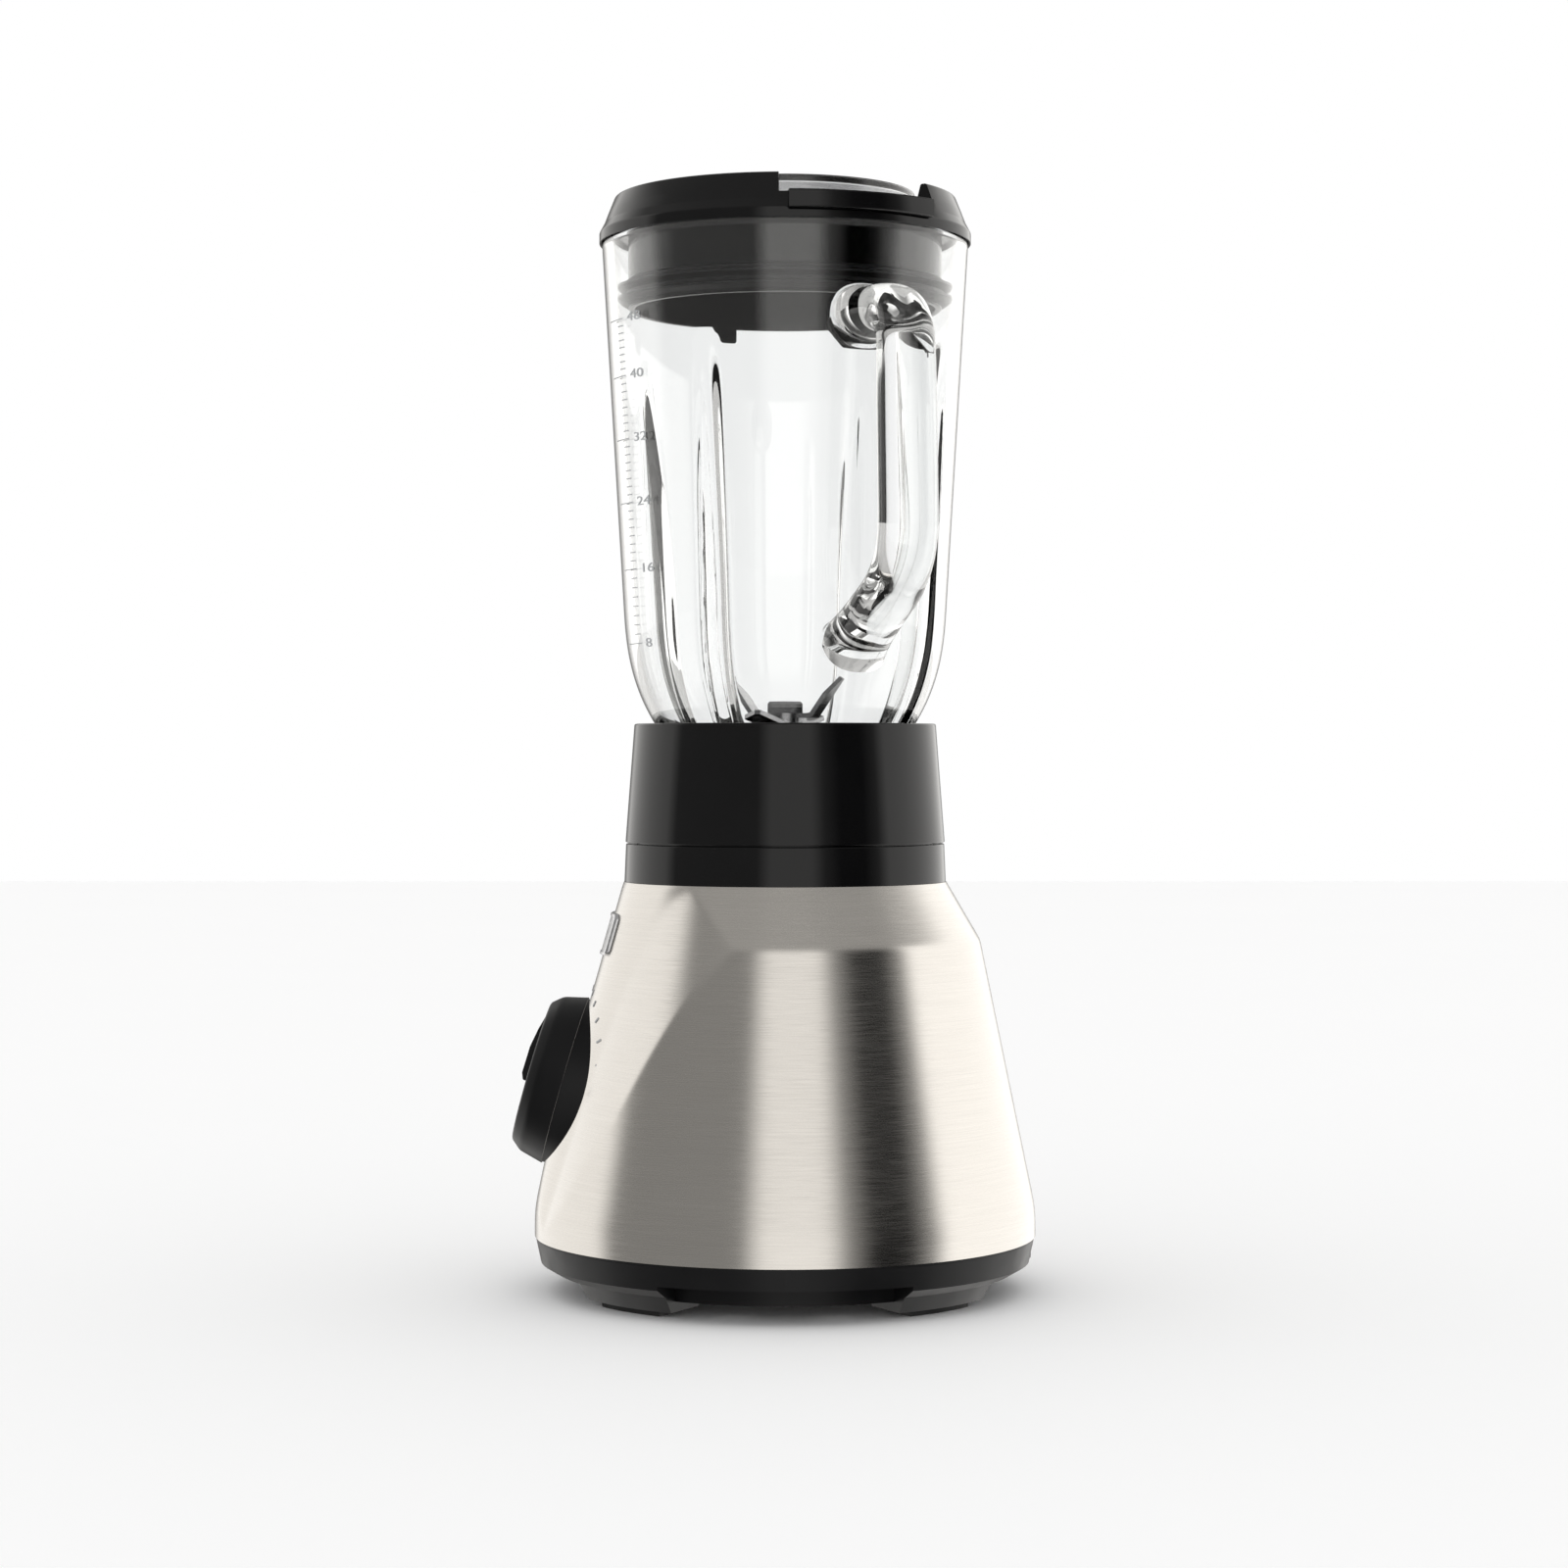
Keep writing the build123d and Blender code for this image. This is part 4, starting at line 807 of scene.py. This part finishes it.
def make_lid():
    """The lid as one ring of outlines: cut away for the pull tab between two short bare stretches."""
    rim, crown = GLASS_TOP / MM, CROWN_TOP / MM - CROWN_DROP
    floor = rim + 8
    skirt = SKIRT_LOW / MM
    well = floor - 17
    inside = [
        (67.7, rim - 1.5, 0), (66.2, rim, 0), (57.5, rim, 0), (57.5, skirt, 0.5), (55, skirt, 0.4),
        (55, floor - 2.5, 0.5), (50.6, floor - 2.5, 0.5), (50.6, well, 0.4), (45.5, well, 0.3),
        (45.5, well + 2.5, 0.3), (48.1, well + 2.5, 0.2), (48.1, floor, 0.5),
    ]
    plain = [
        (57.9, floor, 0.6), (60.0, crown, 0.7), (62.5, crown, 0.8), (64.9, rim + 9.3, 0), (65.4, rim + 8, 0),
        (66.4, rim + 5.4, 0), (67.7, rim + 3.0, 0.7), (68.2, rim + 2.1, 0.5), (68.2, rim - 1.5, 0.3),
    ]
    notched = [
        (57.9, floor, 0), (60.0, floor, 0), (64, floor, 0), (68.0, floor, 0), (70.9, floor, 0.8),
        (70.9, rim + 1.7, 0.7), (67.0, rim + 1.4, 0.2), (68.2, rim + 1.2, 0.2), (68.2, rim - 1.5, 0.3),
    ]
    open_rim = [
        (57.9, floor, 0.6), (60.0, floor, 0), (62.5, floor, 0), (64.9, floor, 0), (65.4, floor - 0.1, 0),
        (66.4, rim + 5.4, 0), (67.7, rim + 3.0, 0.7), (68.2, rim + 2.1, 0.5), (68.2, rim - 1.5, 0.3),
    ]
    step = 0.12
    spans = [
        (-2.0, 1.0, 4, open_rim), (1.0, 48.2, 60, notched), (48.2, 53.6, 7, open_rim),
        (53.6, 358.0, 240, plain),
    ]
    angles, outlines = [], []
    for start, end, count, outline in spans:
        angles += list(np.radians(np.linspace(start + step, end - step, count)))
        outlines += [inside + outline] * count
    profiles = []
    for outline in outlines:
        profiles.append(filleted(pack_mm([(r, z, max(fillet, LEAST_FILLET)) for r, z, fillet in outline])))
    body = profiled_ring("lid_body", profiles, angles, GLOSS)
    meshes = [body.data]
    for azimuth in NUB_AZIMUTHS:
        nub = block("nub", (55.05 * MM, -5.2 * MM, SKIRT_LOW - 5.2 * MM),
                    (57.45 * MM, 5.2 * MM, SKIRT_LOW + 3 * MM), GLOSS)
        soft = nub.modifiers.new("soft", "BEVEL")
        soft.width = 1.1 * MM
        soft.segments = 4
        apply_modifiers(nub)
        nub.data.transform(turn_to(azimuth))
        meshes.append(nub.data)
        bpy.data.objects.remove(nub)
    bpy.data.objects.remove(body)
    piece = joined("black_lid", meshes, GLOSS)
    smooth(outward(piece), 30)
    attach(piece, "lid")
    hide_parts("lid")


# ---------------------------------------------------------------- knob and badge
PANEL_LEAN = 0.285
KNOB_Z = 76.4 * MM
GRIP_HALF = 6.5 * MM
DIAL_SQUASH = 0.962
knob_out = Vector((0, -1, PANEL_LEAN)).normalized()
knob_side = Vector((1, 0, 0))
knob_up = knob_out.cross(knob_side)
knob_origin = Vector((0, -TOP_RADIUS - 0.1 * MM - PANEL_LEAN * (HOUSING_TOP - KNOB_Z), KNOB_Z))
KNOB_PLACE = Matrix.Translation(knob_origin) @ Matrix((knob_side, knob_up, knob_out)).transposed().to_4x4()


def make_knob():
    top = 13.5
    outline = pack_mm([
        (3.05, 2.0, 0), (6.5, 2.0, 0.3), (6.5, top - 2.5, 0.3), (23.5, top - 2.5, 0.5), (29.0, 0.6, 0.3),
        (31.5, 0.6, 0.1), (29.3, top - 4.0, 1.2), (25.9, top, 1.0), (0, top, 0), (0, top - 2.0, 0),
        (3.05, top - 2.0, 0),
    ])
    piece = turned("speed_knob", outline, KNOB, 160)
    side = [
        (22, top - 1), (22, top), (16, top + 1.6), (9, top + 2.8), (-1, top + 3), (-3.6, top + 2),
        (-3.6, top - 1),
    ]
    corners = [(x, y * MM, z * MM) for x in (-GRIP_HALF, GRIP_HALF) for y, z in side]
    count = len(side)
    faces = [tuple(range(count)), tuple(range(2 * count - 1, count - 1, -1))]
    for index in range(count):
        after = (index + 1) % count
        faces.append((index, count + index, count + after, after))
    grip = outward(mesh_object("grip", corners, faces, KNOB))
    soft = grip.modifiers.new("soft", "BEVEL")
    soft.width = 0.9 * MM
    soft.segments = 3
    apply_modifiers(grip)
    piece = boolean(piece, grip, "UNION")
    piece.data.transform(KNOB_PLACE)
    piece.data.materials.clear()
    piece.data.materials.append(KNOB)
    smooth(outward(piece), 40)
    piece.visible_glossy = False
    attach(piece, "knob")
    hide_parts("control_knob")


def panel_point(x, z, stand):
    """A point on the front panel, stand metres proud of it."""
    radius = TOP_RADIUS + 0.1 * MM + stand
    return Vector((x, -PANEL_LEAN * (HOUSING_TOP - z) - math.sqrt(radius * radius - x * x), z))


def make_dial_marks():
    """Small raised dashes around the knob for its three settings and the steps between them."""
    tree = Tree("dial_dashes", MARKS, dashes=13, circle=35.5 * MM, dash_length=2.4 * MM, dash_width=0.7 * MM,
                sweep=180.0)
    line = tree.node("GeometryNodeMeshLine", Count=tree.value("dashes"))
    index = Field(tree.node("GeometryNodeInputIndex").outputs[0])
    turn = (index / (tree.value("dashes") - 1) * tree.value("sweep")) * (math.pi / 180)
    across, up = calc("COSINE", turn) * tree.value("circle"), calc("SINE", turn) * tree.value("circle")
    placed = tree.node("GeometryNodeSetPosition", Geometry=line.outputs[0],
                       Position=tree.vector(across, up, 0.0))
    bar = tree.node("GeometryNodeMeshCube", Size=tree.vector(1.0, 1.0, 1.0), Vertices_X=4)
    size = tree.vector(tree.value("dash_length"), tree.value("dash_width"), 0.3 * MM)
    spread = tree.node("GeometryNodeInstanceOnPoints", Points=placed.outputs[0], Instance=bar.outputs[0],
                       Rotation=tree.vector(0.0, 0.0, turn), Scale=size)
    piece = tree.finish(spread.outputs[0], "dial_marks")
    for vertex in piece.data.vertices:
        x, y, z = vertex.co
        vertex.co = panel_point(x, KNOB_Z + y * DIAL_SQUASH, z + 0.12 * MM)
    outward(piece)
    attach(piece, "base")


def make_badge():
    """A plain plate with rounded corners that follows the curve of the panel."""
    top = HOUSING_TOP - 11.1 * MM
    width, height, corner = 17.6 * MM, 15.1 * MM, 2.5 * MM
    middle = top - height / 2 - 0.2 * MM
    bends = []
    for sign_x, sign_z, start in ((1, 1, 0), (-1, 1, 90), (-1, -1, 180), (1, -1, 270)):
        for degrees in range(start, start + 91, 15):
            angle = math.radians(degrees)
            bends.append((sign_x * (width - corner) + corner * math.cos(angle),
                          sign_z * (height / 2 - corner) + corner * math.sin(angle)))
    ring = []
    for here, after in zip(bends, bends[1:] + bends[:1]):
        steps = max(1, round(math.dist(here, after) / MM))
        ring += [tuple(np.array(here) + (np.array(after) - here) * step / steps) for step in range(steps)]
    layers = [(1.0, 0.02), (1.0, 1.0), (0.975, 1.35), (0.86, 1.35), (0.85, 1.0), (0.5, 1.0), (0.1, 1.0)]
    points, faces = [], []
    count = len(ring)
    for scale, stand in layers:
        inset = (1 - scale) * height / 2
        for x, z in ring:
            points.append(panel_point(x - math.copysign(min(inset, abs(x)), x) if scale > 0.6 else x * scale,
                                      middle + (z - math.copysign(min(inset, abs(z)), z) if scale > 0.6
                                                else z * scale), stand * MM))
    for layer in range(len(layers) - 1):
        for index in range(count):
            after = (index + 1) % count
            faces.append((layer * count + index, layer * count + after,
                          (layer + 1) * count + after, (layer + 1) * count + index))
    faces.append(tuple(range(count)))
    faces.append(tuple((len(layers) - 1) * count + index for index in range(count)))
    piece = smooth(outward(mesh_object("plain_badge", points, faces, BADGE)), 30)
    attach(piece, "base")
    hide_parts("badge_plate")


# ---------------------------------------------------------------- finishes of the CAD nodes that stay
CARRIED = {
    "housing_tabs": ZINC, "bottom_pan": SATIN, "rubber_feet": RUBBER, "pan_screws": ZINC,
    "cord_inlet_bushing": RUBBER, "control_board": BOARD, "board_components": PART, "board_screws": ZINC,
    "terminal_block": NYLON, "air_baffle": SATIN, "motor_chassis": SATIN, "seat_ring_screws": ZINC,
    "vibration_mounts": RUBBER, "chassis_screws": ZINC, "upper_bearing_bracket": CASTING,
    "lower_bearing_bracket": CASTING, "upper_bearing": BRONZE, "lower_bearing": BRONZE,
    "stator_core": LAMINATED, "field_coils": COPPER, "motor_through_bolts": ZINC, "brush_holders": PART,
    "carbon_brushes": CARBON, "brush_springs": ZINC, "drip_seal": SILICONE, "dial_bezel": KNOB,
    "switch_bracket": SATIN, "rotary_switch": PART, "dial_screws": ZINC, "motor_shaft": ZINC,
    "armature_core": LAMINATED, "armature_windings": COPPER, "commutator": BAR_COPPER, "cooling_fan": NYLON,
    "drive_stud": ZINC, "switch_spindle": PART, "knob_clip": ZINC, "jar_gasket": SILICONE,
    "blade_housing": GLOSS, "blade_bushings": BRONZE, "shaft_seal": SILICONE, "blade_shaft": BLADE,
    "lower_blade": BLADE, "upper_blade": BLADE, "blade_nut": BLADE, "blade_washers": BLADE,
    "driven_coupling": ZINC, "thrust_washer": ZINC, "lid_gasket": SILICONE,
}


def finish_carried():
    for name, material in CARRIED.items():
        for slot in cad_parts[name].material_slots:
            slot.material = material
    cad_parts["dial_bezel"].visible_glossy = False


# ---------------------------------------------------------------- stage, light and camera
def make_stage():
    floor = mesh_object("floor", [(-4, -4, 0), (4, -4, 0), (4, 4, 0), (-4, 4, 0)], [(0, 1, 2, 3)], None)
    finish = Finish("pale_floor", (0.97, 0.97, 0.97), 0.8)
    finish.tint(finish.noise(3, 2.0), (0.995, 0.995, 0.995), (0.985, 0.985, 0.985))
    floor.data.materials.append(finish.material)
    floor.visible_glossy = False


# Lights round the blender: start and end in degrees from +X towards +Y, and brightness.
# The one at 0.0 is a black flag.
SOFTBOXES = ((-165, -85, 1.3), (-20, 29, 1.3), (30, 69, 0.0), (70, 170, 1.6))
FADE = 10
ROOM_GREY = 0.3
CEILING_GREY = 0.45
CEILING_START, CEILING_END = 0.45, 0.62
LIGHT_TINT = (1.0, 0.985, 0.96)
BRIGHTEST = 1.65


def light_colour(level):
    return (*[level / BRIGHTEST * part for part in LIGHT_TINT], 1)


def light_ring(tree, share):
    """The softboxes, on the grey of the room, as a colour ramp over the azimuth."""
    levels = [(-180, ROOM_GREY)]
    for start, end, level in SOFTBOXES:
        levels += [(start, ROOM_GREY), (start + FADE, level), (end - FADE, level), (end, ROOM_GREY)]
    levels.append((180, ROOM_GREY))
    ramp = tree.nodes.new("ShaderNodeValToRGB")
    tree.links.new(share, ramp.inputs[0])
    stops = ramp.color_ramp.elements
    stops.remove(stops[-1])
    for index, (degrees, level) in enumerate(levels):
        stop = stops[0] if index == 0 else stops.new(1.0)
        stop.position = (degrees + 180) / 360
        stop.color = light_colour(level)
    return ramp.outputs[0]


def world_math(tree, kind, first, second=None):
    node = tree.nodes.new("ShaderNodeMath")
    node.operation = kind
    for slot, value in enumerate((first, second)):
        if isinstance(value, (int, float)):
            node.inputs[slot].default_value = value
        elif value is not None:
            tree.links.new(value, node.inputs[slot])
    return node.outputs[0]


def make_light():
    """White all round, and for mirrored light only, a few softboxes in a grey room."""
    world = bpy.data.worlds.new("studio")
    bpy.context.scene.world = world
    world.use_nodes = True
    tree = world.node_tree
    plain = tree.nodes["Background"]
    plain.inputs["Color"].default_value = (1, 1, 1, 1)
    room = tree.nodes.new("ShaderNodeBackground")
    room.inputs["Strength"].default_value = BRIGHTEST
    place = tree.nodes.new("ShaderNodeTexCoord")
    parts = tree.nodes.new("ShaderNodeSeparateXYZ")
    tree.links.new(place.outputs["Generated"], parts.inputs[0])
    turn = world_math(tree, "ARCTAN2", parts.outputs["Y"], parts.outputs["X"])
    share = world_math(tree, "ADD", world_math(tree, "DIVIDE", turn, 2 * math.pi), 0.5)
    height = tree.nodes.new("ShaderNodeMapRange")
    height.inputs["From Min"].default_value = CEILING_START
    height.inputs["From Max"].default_value = CEILING_END
    tree.links.new(parts.outputs["Z"], height.inputs["Value"])
    sky = tree.nodes.new("ShaderNodeMix")
    sky.data_type = "RGBA"
    sky.inputs[7].default_value = light_colour(CEILING_GREY)
    tree.links.new(height.outputs[0], sky.inputs[0])
    tree.links.new(light_ring(tree, share), sky.inputs[6])
    tree.links.new(sky.outputs[2], room.inputs["Color"])
    path = tree.nodes.new("ShaderNodeLightPath")
    mirrored = world_math(tree, "GREATER_THAN", path.outputs["Glossy Depth"], 0.5)
    chosen = tree.nodes.new("ShaderNodeMixShader")
    tree.links.new(mirrored, chosen.inputs[0])
    tree.links.new(plain.outputs[0], chosen.inputs[1])
    tree.links.new(room.outputs[0], chosen.inputs[2])
    tree.links.new(chosen.outputs[0], tree.nodes["World Output"].inputs["Surface"])
    bpy.context.scene.view_settings.view_transform = "Standard"


CAMERA_PLACE = (1.25, -0.0004, 0.1965)
CAMERA_DIP = math.radians(0.5)
LENS, SENSOR = 77.96, 36


def make_camera():
    data = bpy.data.cameras.new("camera")
    data.lens = LENS
    data.sensor_width = SENSOR
    camera = bpy.data.objects.new("camera", data)
    bpy.context.scene.collection.objects.link(camera)
    camera.location = CAMERA_PLACE
    camera.rotation_euler = (math.pi / 2 - CAMERA_DIP, 0, math.pi / 2)
    bpy.context.scene.camera = camera


make_housing()
finish_jar()
make_marks()
make_seat_ring()
make_collar()
make_lid()
make_cap()
make_knob()
make_badge()
make_dial_marks()
finish_carried()
make_stage()
make_light()
make_camera()
